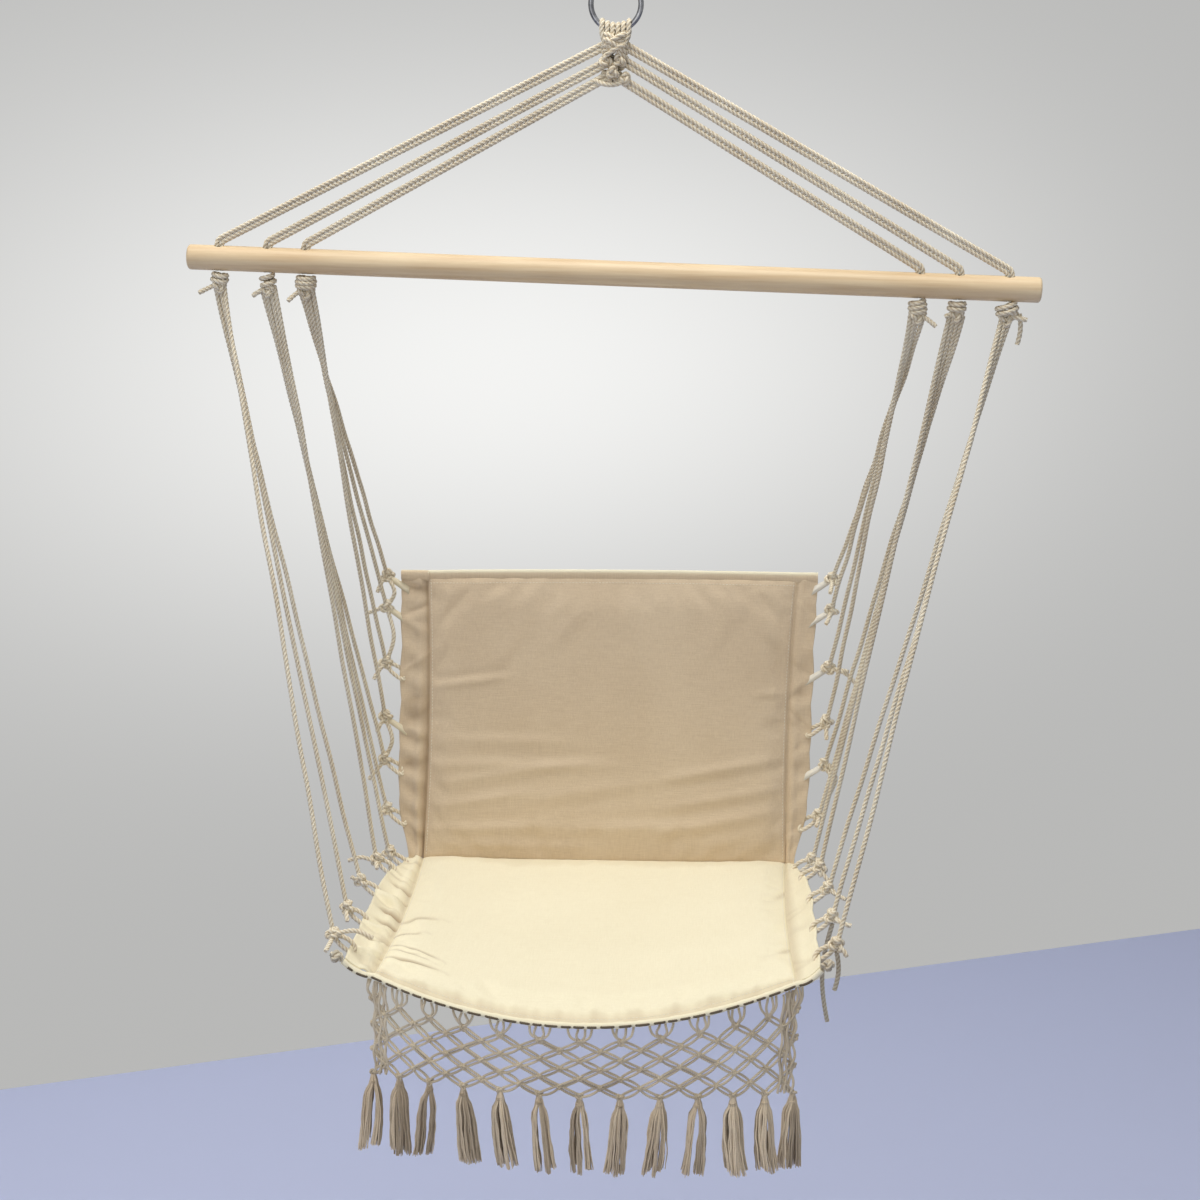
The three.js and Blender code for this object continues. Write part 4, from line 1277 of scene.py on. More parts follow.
waves = sum(
    rng.uniform(0.4, 1) * np.sin(2 * np.pi * x / rng.uniform(0.012, 0.05) + rng.uniform(0, 6))
    for _ in range(6)
) / 3
band = SEAT_BAND * (1 + 0.22 * waves) * (1 - 0.3 * np.abs(x / HALF_PAD) ** 2)
groove, puckers = bell(from_front - band * 0.5, 0.006), bell(from_front - band, 0.007)
folds = sum(ridge(marks[:, :2], *fold) for fold in SEAT_FOLDS)
heights = -GROOVE_DEPTH * groove + PUCKER_HEIGHT * puckers * (0.6 + waves) + folds
push(seat, marks, heights * edge_fade(marks, SEAT_DEPTH, 0.004))
# The band behind the front hem is painted darker, as painted shade where the cloth turns down, and the
# hollows beside the seat's folds get painted shade.
shade_and_wear = np.clip((band - from_front) / (0.55 * band), 0, 1) * (0.62 + 0.14 * waves)
marked(seat.data, "fade", np.clip(shade_and_wear, 0, 1) * above)
marked(seat.data, "shade", np.clip(-folds / 0.0011, 0, 1) * 0.8 * above)
faced(seat.data, seat_canvas)
fit(seat, "sling", "cotton_canvas", "seat_pad")

# %% [markdown]
# ## Side flaps
# Beyond each seam the canvas runs on as a single sheet, to which the cords are tied. It is drawn out at
# each tie and hangs in a little between them. Folds run from the ties across it, deep ones on the left
# of the seat, and it lies in shade along the seam: a real groove, darkened further by painted shade, as
# the hollows of its folds are. A simulation would need the pull of every cord, so the folds are sculpted
# in code on a fine grid, and the sheet gets its thickness afterwards.

# %% Looks of the flaps
FLAP_PULLS = [
    # out from the seam and forward from the crease, then width and height, on the seat's left flap
    ((0.034, 0.282), (-0.004, 0.303), 0.0042, 0.0048),
    ((0.034, 0.305), (-0.002, 0.332), 0.0040, 0.0040),
    ((0.034, 0.373), (-0.004, 0.350), 0.0042, 0.0048),
    ((0.034, 0.183), (0.000, 0.206), 0.0050, 0.0042),
    ((0.034, 0.091), (0.000, 0.110), 0.0050, 0.0036),
    ((0.026, 0.130), (0.001, 0.146), 0.0070, -0.0050),
    ((0.026, 0.168), (0.001, 0.184), 0.0060, -0.0046),
    ((0.026, 0.222), (0.001, 0.238), 0.0075, -0.0056),
    ((0.026, 0.258), (0.001, 0.268), 0.0055, -0.0040),
    ((0.028, 0.330), (0.002, 0.318), 0.0050, -0.0040),
]
FLAP_LOOKS = {  # crumples, fold along the seam, shade there on the back, its reach on the seat, pulls
    -1: (0.0058, 0.0060, 0.62, 0.10, FLAP_PULLS),
    1: (0.0024, 0.0022, 0.30, 0.26, ()),
}
print("pulls on the seat's left flap:", len(FLAP_PULLS))

# %% A flap as a sheet
FLAP_COLUMNS, FLAP_ROWS = 20, 200
SHEET_THICK = 0.0018


def flap(name, surface, side, ties, rise, end, seed, crumple, fold, seam, reach=0.07, pulls=()):
    """A sheet from the seam out to the ties, with a fold along the seam and crumples across it."""
    rng = random.Random(seed)
    outward, along = np.meshgrid(np.linspace(0, 1, FLAP_COLUMNS + 1), np.linspace(0, end, FLAP_ROWS + 1))
    edge_x, scallop = flap_edge(side, along, ties)
    inner = pad_half_width(along) - 0.001
    x = inner + (edge_x - inner) * outward
    lift = rise * outward**2 + FLAP_FOLD * scallop * outward
    if rise > 0:
        lift = lift * flap_rise(along)
    folds = 0 * lift
    for tie in ties:
        for _ in range(3):
            skew, width = rng.uniform(-0.09, 0.09), rng.uniform(0.012, 0.024)
            height, line = crumple * rng.uniform(-1, 1), tie + skew * (1 - outward)
            folds += height * bell(along - line, width) * outward**0.6 * (1.15 - outward)
    for _ in range(7):
        centre, width = rng.uniform(0.05, 0.95) * end, rng.uniform(0.015, 0.05)
        height = crumple * 0.6 * rng.uniform(-1, 1)
        folds += height * bell(along - centre, width) * np.sin(np.pi * outward)
    plan = np.stack([outward * FLAP_WIDTH[side], along * SEAT_DEPTH], axis=-1).reshape(-1, 2)
    folds += sum((ridge(plan, *pull) for pull in pulls), np.zeros(len(plan))).reshape(folds.shape)
    lift = lift + folds
    # Painted shade along the seam and in the hollows of the folds.
    shade = seam * bell(outward - 0.08, reach) + 0.8 * np.clip(-folds / 0.0050, 0, 1)
    low = 0.35 + (0.5 if rise > 0 else 0.65 * np.clip((along / end - 0.25) / 0.4, 0, 1))
    lift = lift - fold * low * bell(outward - 0.10, 0.10) + fold * 0.8 * low * bell(outward - 0.36, 0.13)
    lift = lift + fold * 0.35 * low * np.sin(along * 70 + 3 * outward) * np.sin(np.pi * outward)
    places = surface(side * x, along, lift).reshape(-1, 3)
    stride = FLAP_COLUMNS + 1
    faces = [
        (r * stride + c, (r + 1) * stride + c, (r + 1) * stride + c + 1, r * stride + c + 1)
        for r in range(FLAP_ROWS) for c in range(FLAP_COLUMNS)
    ]
    mesh = mesh_of(name, places, faces)
    marked(mesh, "shade", np.clip(shade, 0, 1).ravel())
    cloth = placed(name, mesh)
    wall = cloth.modifiers.new("wall", "SOLIDIFY")
    wall.thickness, wall.offset = SHEET_THICK, 0
    return settled(name, cloth)


print("a flap is a grid of", FLAP_COLUMNS, "by", FLAP_ROWS)

# %% All four flaps
for side, side_name in SIDES:
    crumple, fold, seam, reach, pulls = FLAP_LOOKS[side]
    piece = flap(f"back_sheet_{side_name}", back_point, side, BACK_TIES, 0, BACK_END, 31 + side,
                 crumple, fold, seam)
    faced(piece.data, back_canvas)
    fit(piece, "sling", "cotton_canvas", f"back_flap_{side_name}")
    piece = flap(f"seat_sheet_{side_name}", seat_point, side, SEAT_TIES, FLAP_RISE, 1, 41 + side,
                 crumple, fold * 0.6, 0.34, reach, pulls)
    faced(piece.data, seat_canvas)
    fit(piece, "sling", "cotton_canvas", f"seat_flap_{side_name}")

# %% [markdown]
# ## Hems, tapes and seams
# The top of the back and the front of the seat end in a rolled hem. The top one is flat, and its upper
# edge takes the seat's lit cream as painted light, with a short sleeve at its left end. A hem could be a
# bevelled curve, but its section is uneven, so one tree sweeps it and varies its thickness. Stitches
# repeat, so they are instances along the seams. Some ties hold the flap by a loop of tape, a flat ribbon
# that goes out to the knot and back.

# %% Hem tree
def hem_tree():
    shaper = Shaper("rolled_hem", {"Diameter": HEM, "Flatness": 1.0, "Ring step": 0.002, "Pucker": 0.08})
    line = shaper.even_line()
    line = line.make("GeometryNodeSetCurveNormal", {"mode": "Z_UP"}, {"Curve": line})
    section = line.make("GeometryNodeCurvePrimitiveCircle", sockets={"Resolution": 14, "Radius": 0.5})
    place = line.make("GeometryNodeInputPosition")
    across, up, _ = place.parts()
    section = section.make("GeometryNodeSetPosition", sockets={
        "Geometry": section, "Position": place.joined(across * shaper.given("Flatness"), up, 0.0)})
    uneven = 1 + (noise(place, 55.0) - 0.5) * shaper.given("Pucker") * 2
    thick = shaper.given("Diameter") * uneven * line.stored("thick")
    return shaper.close(shaper.swept(line, section, thick))


rolled_hem = hem_tree()
left_end, right_end = -HALF_PAD - FLAP_WIDTH[-1], HALF_PAD + FLAP_WIDTH[1]
xs = np.linspace(left_end, right_end, 90)
top_path = back_point(xs, 0.0) + np.array((0, 0, HEM / 2 + GAP - 0.003))
sleeve = top_path[xs < -HALF_PAD + 0.003] + np.array((0, -0.0036, 0.0010))
top_runs = paths_object([(top_path, False, 1.0), (sleeve, False, 0.72)])
top = shaped("rolled_top_hem", top_runs, rolled_hem, back_canvas,
             diameter=HEM + 0.006, flatness=0.30, pucker=0.05)
places = read_places(top.data)
above = places[:, 2] - BACK_TOP_Z - CANVAS_SLOPE * places[:, 0]
# The hem's upper edge takes the seat's lit cream through fade: painted light. Over the sleeve at the left
# end it starts higher.
cream = np.where(places[:, 0] > -HALF_PAD, 0.0048, 0.0080)
marked(top.data, "fade", np.clip((above - cream) / 0.0015, 0, 1))
fit(top, "sling", "cotton_canvas", "back_top_hem")
fine_xs = np.linspace(left_end, right_end, 240)
gathers = 1 + 0.07 * np.sin(fine_xs * 420) * np.sin(fine_xs * 97 + 1) + 0.05 * np.sin(fine_xs * 190)
front = shaped("rolled_front_hem", paths_object([(front_line(fine_xs), False, gathers)]), rolled_hem,
               seat_canvas, diameter=FRONT_HEM, pucker=0.16)
fit(front, "sling", "cotton_canvas", "seat_front_hem")

# %% Stitch tree
STITCH_PITCH = 0.0042


def stitch_tree():
    """Small thread stitches, one after the other along each path."""
    shaper = Shaper("stitches", {"Pitch": STITCH_PITCH, "Thread": 0.0007, "Stitch": 0.0030})
    line = shaper.line()
    points = line.make("GeometryNodeCurveToPoints", {"mode": "LENGTH"},
                       {"Curve": line, "Length": shaper.given("Pitch")})
    turns = Wire(shaper.tree, points.socket.node.outputs["Rotation"])
    thread = line.make("GeometryNodeMeshUVSphere", sockets={"Segments": 6, "Rings": 4, "Radius": 0.5})
    size = thread.joined(shaper.given("Thread"), shaper.given("Thread"), shaper.given("Stitch"))
    row = points.make("GeometryNodeInstanceOnPoints", sockets={
        "Points": points, "Instance": thread, "Rotation": turns, "Scale": size})
    return shaper.close(row)


stitch = stitch_tree()


def on_surface(piece, points, towards):
    """Each point moved onto a piece's surface along a direction."""
    mesh = piece.data
    tree = BVHTree.FromPolygons([v.co for v in mesh.vertices], [p.vertices for p in mesh.polygons])
    landed = []
    for point in points:
        hit = tree.ray_cast(Vector(point) - Vector(towards) * 0.06, Vector(towards))[0]
        if hit is not None:
            landed.append(hit - Vector(towards) * 0.0002)
    return landed


def seam_stitches(name, piece, surface, start, end, towards, inset):
    """Two lines down the sides of a panel and one along its free edge."""
    runs = []
    along = np.linspace(start, end, 120)
    for side in (-1, 1):
        line = surface(side * (pad_half_width(along) - inset), along)
        runs.append((on_surface(piece, line, towards), False, 1.0))
    across = np.linspace(-1, 1, 140) * (HALF_PAD - inset)
    free = start + inset / 0.38 if surface is back_point else end - inset / 0.38
    runs.append((on_surface(piece, surface(across, np.full_like(across, free)), towards), False, 1.0))
    threads = shaped(name, paths_object(runs), stitch, tape_cotton)
    return fit(threads, "sling", "cotton_canvas")


seam_stitches("back_stitches", back, back_point, 0.01, 0.98, (0, 1, 0), 0.0035)
seam_stitches("seat_stitches", seat, seat_point, 0.02, 0.99, (0, 0, -1), 0.0035)

# %% Tapes
TAPE_WIDTH, TAPE_THICK = 0.0095, 0.0008


def tape_loop(edge, knot, rng):
    """A flat ribbon from inside the flap's edge out to the knot, in two layers that part a little."""
    edge, knot = Vector(edge), Vector(knot)
    reach = knot - edge
    start = edge - reach * 0.55
    upright = Vector((0, 0.35, 1)).normalized()
    lift = reach.cross(upright).normalized()
    places, faces, steps = [], [], 12
    twist = rng.uniform(-0.5, 0.5)
    for layer in (-1, 1):
        for wall in (0, 1):
            for step in range(steps + 1):
                s = step / steps
                part = layer * (0.0009 + 0.0012 * math.sin(math.pi * s)) + (wall - 0.5) * TAPE_THICK
                centre = start + (knot - start) * s + lift * part
                lean = Matrix.Rotation(twist * s, 3, reach.normalized())
                half = lean @ upright * TAPE_WIDTH / 2 * (1 - 0.3 * s * s)
                places += [centre - half, centre + half]
    count = 2 * (steps + 1)
    for layer in range(2):
        low, high = layer * 2 * count, layer * 2 * count + count
        for step in range(steps):
            a, b = low + 2 * step, high + 2 * step
            faces += [(a, a + 1, a + 3, a + 2), (b, b + 2, b + 3, b + 1),
                      (a, a + 2, b + 2, b), (a + 1, b + 1, b + 3, a + 3)]
        a, b = low, high
        c, d = a + 2 * steps, b + 2 * steps
        faces += [(a, b, b + 1, a + 1), (c, c + 1, d + 1, d)]
    return places, faces


for side, side_name in SIDES:
    rng = random.Random(61 + side)
    places, faces = [], []
    for edge, knot in (ties_of(side)[index] for index in TAPED[side]):
        more_places, more_faces = tape_loop(edge, knot, rng)
        faces += [tuple(len(places) + corner for corner in face) for face in more_faces]
        places += more_places
    cloth = seat_canvas if side < 0 else tape_cotton
    mesh = faced(mesh_of(f"tie_tapes_{side_name}", places, faces), cloth)
    marked(mesh, "fade", [0.4] * len(places))
    fit(placed(mesh.name, mesh), "sling", "cotton_canvas")

# %% Corner knots
# The corner knots' tones darken them: painted shade.
rng = random.Random(71)
for side, side_name in SIDES:
    end = Vector(front_line(np.array(side * (HALF_PAD + FLAP_WIDTH[side]))))
    inside = Vector(front_line(np.array(side * (HALF_PAD + FLAP_WIDTH[side] / 2))))
    centre = end + (end - inside).normalized() * (0.017 / 2 + GAP)
    knot = cord_piece(f"corner_tie_{side_name}", [
        (*overhand(centre, size, tilted(rng, lean)), tone)
        for size, lean, tone in ((0.0175, 0.6, 0.75), (0.015, 1.4, 0.6))
    ])
    fit(knot, "sling", "cotton_cord", f"front_corner_knot_{side_name}")

# %% [markdown]
# ## The netted fringe
# Below the front edge hangs a net of diamonds, knotted from doubled thin cord. Each side of a diamond
# is two cords that bow apart a little, and each crossing is a small knot. Loops carry it, and a cord
# laced along the hem holds them. A repeated tile would not fit, since the pattern follows the front
# edge's curve and is drawn together at the sides. So a loop over rows and cells places each run of cord,
# by the same rule as the solid. The net hangs from the seat and swings with the tassels.

# %% The pattern of the net
NET_CELLS, NET_ROWS = 12, 6
NET_HALF_WIDTH = HALF_PAD + 0.001
NET_BOTTOM_Z, NET_SIDE_DROP = -1.172, 0.008
GATHER = math.radians(50)
NET_CORD, NET_PART, NET_KNOT = 0.0031, 0.0009, 0.0090
NET_HEAD = 0.2


def net_point(across, drop):
    x = NET_HALF_WIDTH * np.sin(GATHER * across) / math.sin(GATHER)
    top = front_line(x)
    top_z = top[..., 2] - FRONT_HEM / 2 - GAP
    bottom_z = NET_BOTTOM_Z - NET_SIDE_DROP * across**2
    return np.stack([x, top[..., 1], top_z + (bottom_z - top_z) * drop], axis=-1)


def crossing(row, cell):
    return net_point(np.array(2 * cell / NET_CELLS - 1), NET_HEAD + (1 - NET_HEAD) * row / NET_ROWS)


def net_edges():
    for row in range(NET_ROWS):
        for cell in range(NET_CELLS):
            middle = cell + 0.5
            for corner in (cell, cell + 1):
                ends = (corner, middle) if row % 2 == 0 else (middle, corner)
                yield (row, ends[0]), (row + 1, ends[1])


print("sides of diamonds:", len(list(net_edges())))

# %% Cords and knots of the net
def net_runs(rng):
    """Two cords along each side of each diamond."""
    runs = []
    for (row_a, cell_a), (row_b, cell_b) in net_edges():
        a, b = crossing(row_a, cell_a), crossing(row_b, cell_b)
        along = (b - a) / np.linalg.norm(b - a)
        across = np.array((-along[2], 0, along[0]))
        for part in (-1, 1):
            s = np.linspace(0, 1, 10)[:, None]
            beside = NET_CORD * (0.28 + 0.26 * np.clip(5 * np.minimum(s, 1 - s), 0, 1)) * part
            bow = np.sin(np.pi * s) * (NET_PART * part * rng.uniform(-0.1, 1.5)) + beside
            slack = np.array((0, rng.uniform(-0.0014, 0.0014), rng.uniform(-0.0010, 0.0002)))
            path = a + (b - a) * s + across * bow + np.sin(np.pi * s) * slack
            runs.append((path, False, 1.0, rng.uniform(0.82, 1.0)))
    return runs


def net_knots(rng):
    """A small knot at each crossing, larger in the first and the last row."""
    runs = []
    for row in range(NET_ROWS + 1):
        cells = range(NET_CELLS + 1) if row % 2 == 0 else [c + 0.5 for c in range(NET_CELLS)]
        for cell in cells:
            turn = facing(rng, 0.3, 0.4, 0.5)
            size = NET_KNOT * (1.3 if row in (0, NET_ROWS) else rng.uniform(0.85, 1.1))
            runs.append(overhand(crossing(row, cell), size, turn, NET_CORD, 30))
    return runs


print("cord of the net:", NET_CORD * 1000, "mm thick")

# %% Loops, lacing and the cords at both sides
def header_loops(rng):
    """Loops that carry the first knots: each goes up and round the hem from behind."""
    runs = []
    for cell in range(NET_CELLS + 1):
        knot = crossing(0, cell)
        for reach in (-0.27, -0.09, 0.09, 0.27):
            across = np.clip(2 * (cell + reach + rng.uniform(-0.05, 0.05)) / NET_CELLS - 1, -1.03, 1.03)
            low = net_point(across, 0.0)
            radius = FRONT_HEM / 2 + NET_CORD / 2
            centre = low + np.array((0, 0, FRONT_HEM / 2 + GAP))
            bow = np.array((math.copysign(0.0032, reach), -0.0015, 0)) * rng.uniform(0.6, 1.4)
            points = [knot, (knot + low) / 2 + bow]
            for angle in (-100, -135, -180):
                turn = math.radians(angle)
                points.append(centre + radius * np.array((0, -math.cos(turn), math.sin(turn))))
            runs.append((smooth_path(points, 26), False, 1.0))
    return runs


def header_lacing(rng):
    """The cord that carries the loops: it is laced along the hem, in and out, and lies in its shade,
    painted dark brown by its low tone.
    """
    xs = np.linspace(left_end + 0.006, right_end - 0.006, 760)
    turns = np.cumsum([left_end] + [rng.uniform(0.012, 0.021) for _ in range(44)])
    shares = np.interp(xs, turns, range(45))
    outside = np.clip(np.sin(np.pi * (shares % 1)) * 4 - 1.4, 0, 1)
    reach = FRONT_HEM / 2 * (0.45 + 0.62 * outside)
    fall = math.radians(2)
    offset = np.stack([0 * xs, -math.cos(fall) * reach, -math.sin(fall) * reach], axis=-1)
    return [(front_line(xs) + offset, False, 1.0, 0.12)]


def side_strands(rng):
    """Both sides of the net are a bundle of looped cords that hangs from the corner."""
    runs = []
    for side in (-1, 1):
        for strand in range(7):
            drops = np.linspace(0.02, 0.99, 70)
            wave, phase, loops = rng.uniform(0.001, 0.0026), rng.uniform(0, 6.3), rng.uniform(12, 24)
            across = side * (0.99 - 0.013 * strand)
            path = net_point(np.full_like(drops, across), drops)
            path[:, 0] += wave * np.sin(loops * drops + phase)
            path[:, 1] += 0.0016 * (strand % 3 - 1) + 0.001 * np.cos(loops * drops)
            runs.append((path, False, 1.0))
    return runs


print("loops at the hem:", 4 * (NET_CELLS + 1))

# %% One net
rng = random.Random(83)
net_paths = net_runs(rng) + net_knots(rng) + header_loops(rng) + header_lacing(rng) + side_strands(rng)
net = cord_piece("knotted_net", net_paths, net_cotton,
                 diameter=NET_CORD, lay=0.0072, ring_step=0.00135, section_points=9)
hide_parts("fringe_net")
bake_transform(net)
print("knotted_net", len(net.data.polygons), "faces between sling and fringe")

# %% [markdown]
# ## Tassels
# Each point of the net ends in a tassel: a bunch of yarn doubled over, bound at the neck and cut
# roughly to length. Hair particles could fill it, but strand by strand it is easy: every yarn follows
# the bunch's outline at its own place in the section, with a wave of its own, and a plain sweep gives
# it its thickness. The seeds are fixed, so the thirteen differ from each other but never change.

# %% Yarn tree
YARN = 0.0015


def yarn_tree():
    shaper = Shaper("yarn", {"Diameter": YARN, "Sides": 5})
    line = shaper.line()
    circle = {"Resolution": shaper.given("Sides"), "Radius": 0.5}
    section = line.make("GeometryNodeCurvePrimitiveCircle", sockets=circle)
    body = shaper.swept(line, section, line.stored("thick") * shaper.given("Diameter"))
    return shaper.close(shaper.marked(body, "strand", body.stored("tone")))


yarn_shape = yarn_tree()
print("yarn tree:", len(yarn_shape.nodes), "nodes")

# %% The yarns of one tassel
TASSEL_LENGTH, TASSEL_WIDTH, YARNS = 0.095, 0.026, 110
OUTLINE_SHARES = (0.0, 0.05, 0.09, 0.13, 0.17, 0.22, 0.30, 0.6, 0.85, 1.0)
OUTLINE_WIDTHS = (0.12, 0.28, 0.30, 0.40, 0.60, 0.80, 0.90, 0.94, 0.98, 1.02)
BUNCH_SHARES = (0, 0.12, 0.2, 0.5, 1.0)
BUNCH_RADII = (0.0010, 0.0014, 0.0019, 0.0025, 0.0033)


def tassel_runs(top, rng, split):
    """Seven to nine untwisted cords come out of the neck, and each opens into its yarns."""
    runs = []
    lean = Vector((rng.uniform(-0.10, 0.10), rng.uniform(-0.03, 0.05), 0))
    cords = rng.randint(7, 9)
    for cord in range(cords):
        angle = 2 * math.pi * (cord + rng.uniform(-0.25, 0.25)) / cords
        seat = Vector((math.cos(angle), 0.75 * math.sin(angle), 0)) * rng.uniform(0.55, 0.8)
        if split:
            seat.x = math.copysign(0.36 + 0.42 * rng.random(), seat.x)
            seat.y *= 0.8
        length = TASSEL_LENGTH * rng.uniform(0.9, 0.985)
        sway, phase = rng.uniform(0.0002, 0.0012), rng.uniform(0, 6.3)
        fan_out, turn, tone = rng.uniform(1.0, 1.2), rng.uniform(-0.5, 0.5), rng.uniform(0.62, 1.0)
        for _ in range(YARNS // cords):
            around, ring = rng.uniform(0, 2 * math.pi), math.sqrt(rng.random())
            own = length * rng.uniform(0.985, 1.012)
            wild = 1.7 if rng.random() < 0.04 else 1.0
            wave, beat = rng.uniform(0, 0.0006), rng.uniform(7, 12)
            points, thick = [], []
            for step in range(15):
                s = step / 14
                share = s * own / TASSEL_LENGTH
                width = np.interp(share, OUTLINE_SHARES, OUTLINE_WIDTHS) * TASSEL_WIDTH / 2
                if share > 0.3:
                    width *= 1 + (fan_out - 1) * (share - 0.3) / 0.7
                bunch = np.interp(share, BUNCH_SHARES, BUNCH_RADII) * wild
                heading = around + turn * s * 3
                off = Vector((math.cos(heading), math.sin(heading), 0)) * ring * bunch
                drift = sway * math.sin(6 * s + phase) * min(1, 3 * s) + wave * math.sin(beat * s * 2)
                place = top + seat * width + off + lean * (own * s * s)
                points.append(place + Vector((drift, 0, -own * s)))
                thick.append(1.0 - 0.4 * max(0, s - 0.8) / 0.2)
            # Yarns deep in the bunch are darker, as painted shade; the rest of their tone varies at
            # random.
            own_tone = min(1.0, tone * rng.uniform(0.85, 1.1) * (0.75 + 0.35 * ring))
            runs.append((points, False, np.array(thick), own_tone))
    return runs


def neck_runs(top, rng):
    """The binding round the neck, wound from one thin cord."""
    coil = wound_knot(top - Vector((0, 0, 0.0085)), 0.0092, 0.0056, tilted(rng, 0.2), 2, 0.0020, 0.7, 60)
    return [(coil[0], True, 1.2, rng.uniform(0.6, 0.85))]


print("yarns in a tassel:", YARNS)

# %% Thirteen tassels
SPLIT_TASSELS = (3, 6, 10)
for place in range(NET_CELLS + 1):
    rng = random.Random(100 + place)
    top = Vector(crossing(NET_ROWS, place)) - Vector((0, 0, 0.001))
    runs = tassel_runs(top, rng, place + 1 in SPLIT_TASSELS) + neck_runs(top, rng)
    bunch = shaped(f"yarn_tassel_{place + 1:02d}", paths_object(runs), yarn_shape, yarn)
    fit(bunch, "fringe", "tassel_yarn", f"tassel_{place + 1:02d}")

# %% [markdown]
# ## Floor, wall and light
# The chair hangs in front of a pale wall over a pale floor. Both are plain surfaces, far enough off
# that no pose reaches them. Soft light comes from a large lamp above, a weaker one in front and an even
# sky, so that each colour renders about as it is written, the seat is bright and the back lies in soft
# shade, as in the photograph; that shade on the back is partly the lamps' and partly painted into its
# canvas. A lamp on the wall would spill on the chair, so the wall shows a soft glow of its own to the
# rays that are seen, and reflects light as a plain wall does to all others.

# %% Where the wall meets the floor
FLOOR_Z, STAGE_WIDE, STAGE_DEEP, STAGE_HIGH = -2.13, 8, 9, 8
WALL_PIXELS = ((132, 1072), (1078, 945))
WALL_DIM, WALL_BRIGHT = 0.482, 0.903
WALL_GLOW = ((-0.327, -0.657), (1.122, 0.589))
FLOOR_COLOUR, WALL_COLOUR = (0.56, 0.60, 0.80, 1), (0.83, 0.835, 0.81, 1)


def on_floor(pixel):
    """The point of the floor that the camera sees at a pixel of the photograph."""
    camera = bpy.context.scene.camera.matrix_world
    right, up, back = (camera.col[i].to_3d() for i in range(3))
    across, down = ((value - PHOTO_SIZE / 2) / FOCAL_PIXELS for value in pixel)
    ray = -back + across * right - down * up
    return CAMERA_PLACE + ray * ((FLOOR_Z - CAMERA_PLACE.z) / ray.z)


left_foot, right_foot = (on_floor(pixel) for pixel in WALL_PIXELS)
print("the wall's foot passes", [tuple(round(v, 2) for v in foot) for foot in (left_foot, right_foot)])

# %% Materials of floor and wall
def plain_material(name, colour):
    material = bpy.data.materials.new(name)
    material.use_nodes = True
    shader = material.node_tree.nodes["Principled BSDF"]
    shader.inputs["Base Color"].default_value = colour
    shader.inputs["Roughness"].default_value = 0.9
    return material


def seen_rays(start):
    """1 for rays that show the background to the camera, in metal or through glass, and 0 for light."""
    kinds = ("Is Camera Ray", "Is Glossy Ray", "Is Transmission Ray")
    camera_ray, glossy_ray, clear_ray = (start.make("ShaderNodeLightPath", output=kind) for kind in kinds)
    return start.math("MINIMUM", camera_ray + glossy_ray + clear_ray, 1.0)


def patch(x, z, middle, reach):
    """1 in the middle of a soft round patch on the wall, 0 far from it."""
    across, up = (x - middle[0]) / reach[0], (z - middle[1]) / reach[1]
    return x.math("EXPONENT", (across * across + up * up) * -1.0)


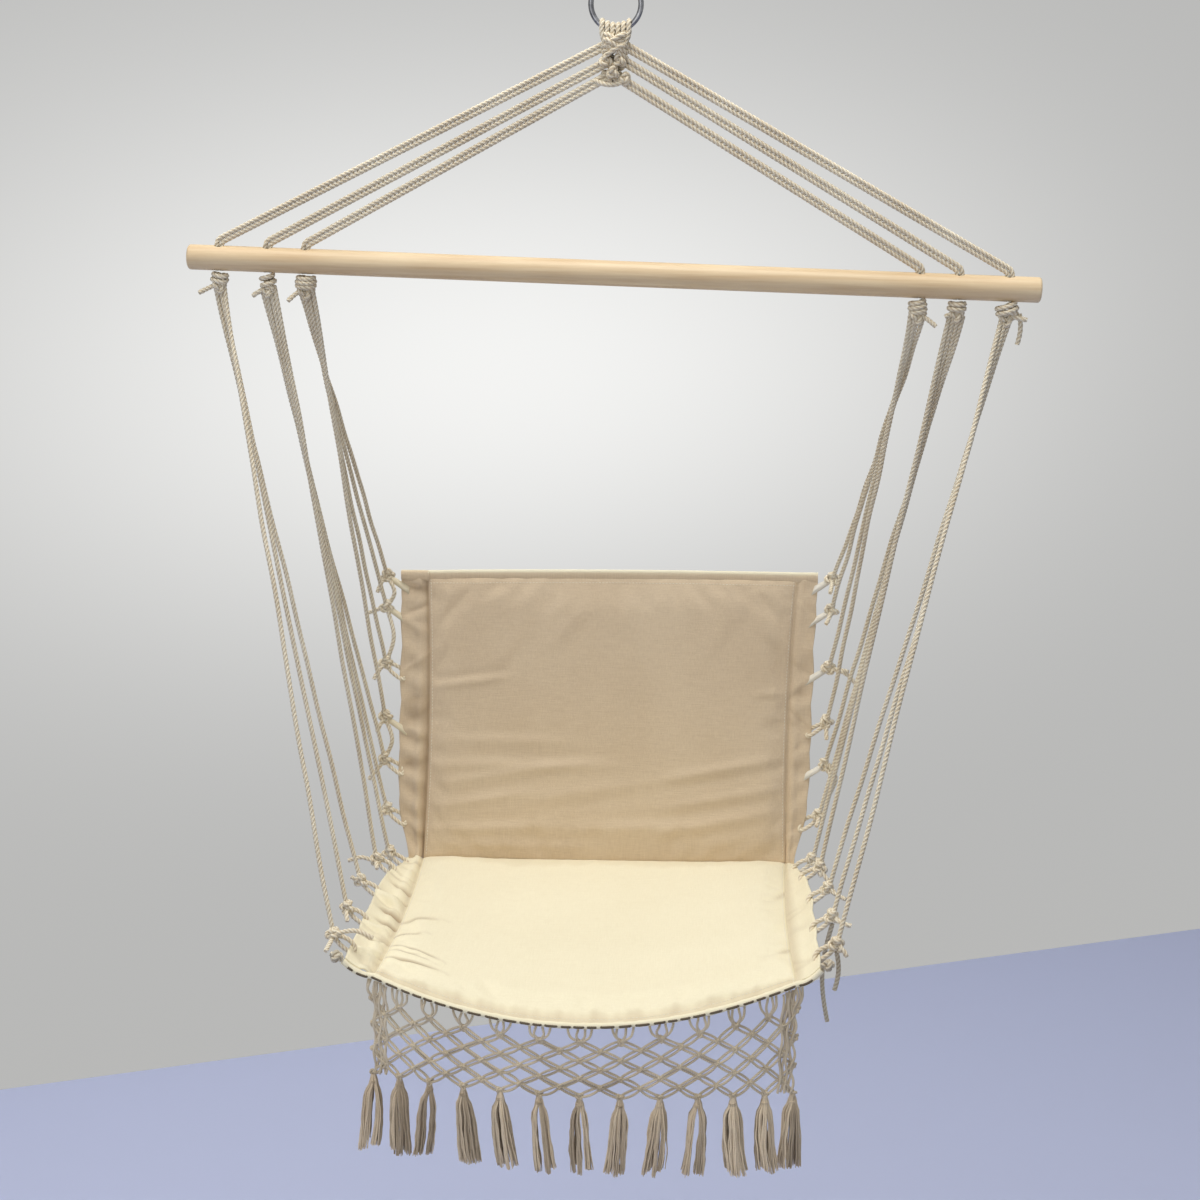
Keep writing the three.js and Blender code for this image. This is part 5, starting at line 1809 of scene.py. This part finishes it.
def backdrop(material):
    """The wall shows its own soft glow, and is clear from behind, where it would hide the chair."""
    tree = material.node_tree
    paint = Wire(tree, tree.nodes["Principled BSDF"].outputs["BSDF"])
    x, _, z = object_place(paint).parts()
    level = WALL_DIM + patch(x, z, *WALL_GLOW) * (WALL_BRIGHT - WALL_DIM)
    glow = paint.make("ShaderNodeEmission", sockets={"Color": (1.0, 1.0, 0.985, 1), "Strength": level})
    clear = paint.make("ShaderNodeBsdfTransparent")
    front = paint.make("ShaderNodeMixShader", sockets={0: seen_rays(paint), 1: paint, 2: glow})
    behind = paint.make("ShaderNodeNewGeometry", output="Backfacing")
    surface = paint.make("ShaderNodeMixShader", sockets={0: behind, 1: front, 2: clear})
    tree.links.new(surface.socket, tree.nodes["Material Output"].inputs["Surface"])
    return material


print("the wall glows from", WALL_DIM, "to", WALL_BRIGHT)

# %% Floor and wall
line = (right_foot - left_foot).normalized()
start, end = left_foot - line * STAGE_WIDE, right_foot + line * STAGE_WIDE
depth, height = Vector((0, STAGE_DEEP, 0)), Vector((0, 0, STAGE_HIGH))
floor_places = [start + depth, end + depth, end - depth, start - depth]
floor_mesh = mesh_of("floor", floor_places, [(0, 3, 2, 1)])
wall_mesh = mesh_of("wall", [start, end, end + height, start + height], [(0, 1, 2, 3)])
floor_mesh.materials.append(plain_material("pale_floor", FLOOR_COLOUR))
wall_mesh.materials.append(backdrop(plain_material("pale_wall", WALL_COLOUR)))
placed("floor", floor_mesh)
placed("wall", wall_mesh)
print("the wall runs from", tuple(round(v, 2) for v in start), "to", tuple(round(v, 2) for v in end))

# %% Lamps and sky
def area_lamp(name, place, target, size, power, colour=(1, 1, 1)):
    data = bpy.data.lights.new(name, "AREA")
    data.energy, data.color, data.size = power, colour, size
    lamp = bpy.data.objects.new(name, data)
    lamp.location = place
    lamp.rotation_euler = (Vector(target) - Vector(place)).to_track_quat("-Z", "Y").to_euler()
    bpy.context.scene.collection.objects.link(lamp)
    return data


lamps = [
    area_lamp("lamp_above", (-0.25, -0.45, 2.3), (0, -0.1, -0.8), 2.2, 88, (1.0, 0.98, 0.95)),
    area_lamp("lamp_front", (-1.2, -3.4, 0.4), (0, 0, -0.7), 2.6, 24),
]
print("watts:", {lamp.name: lamp.energy for lamp in lamps})
SKY_LIGHT, SKY_SEEN = 0.34, 0.80
world = bpy.data.worlds.new("sky")
world.use_nodes = True
world.node_tree.nodes["Background"].inputs["Color"].default_value = (0.95, 0.97, 1.0, 1)
strength = SKY_LIGHT + seen_rays(Wire(world.node_tree)) * (SKY_SEEN - SKY_LIGHT)
world.node_tree.links.new(strength.socket, world.node_tree.nodes["Background"].inputs["Strength"])
bpy.context.scene.world = world
bpy.context.scene.view_settings.view_transform = "Standard"

# %% [markdown]
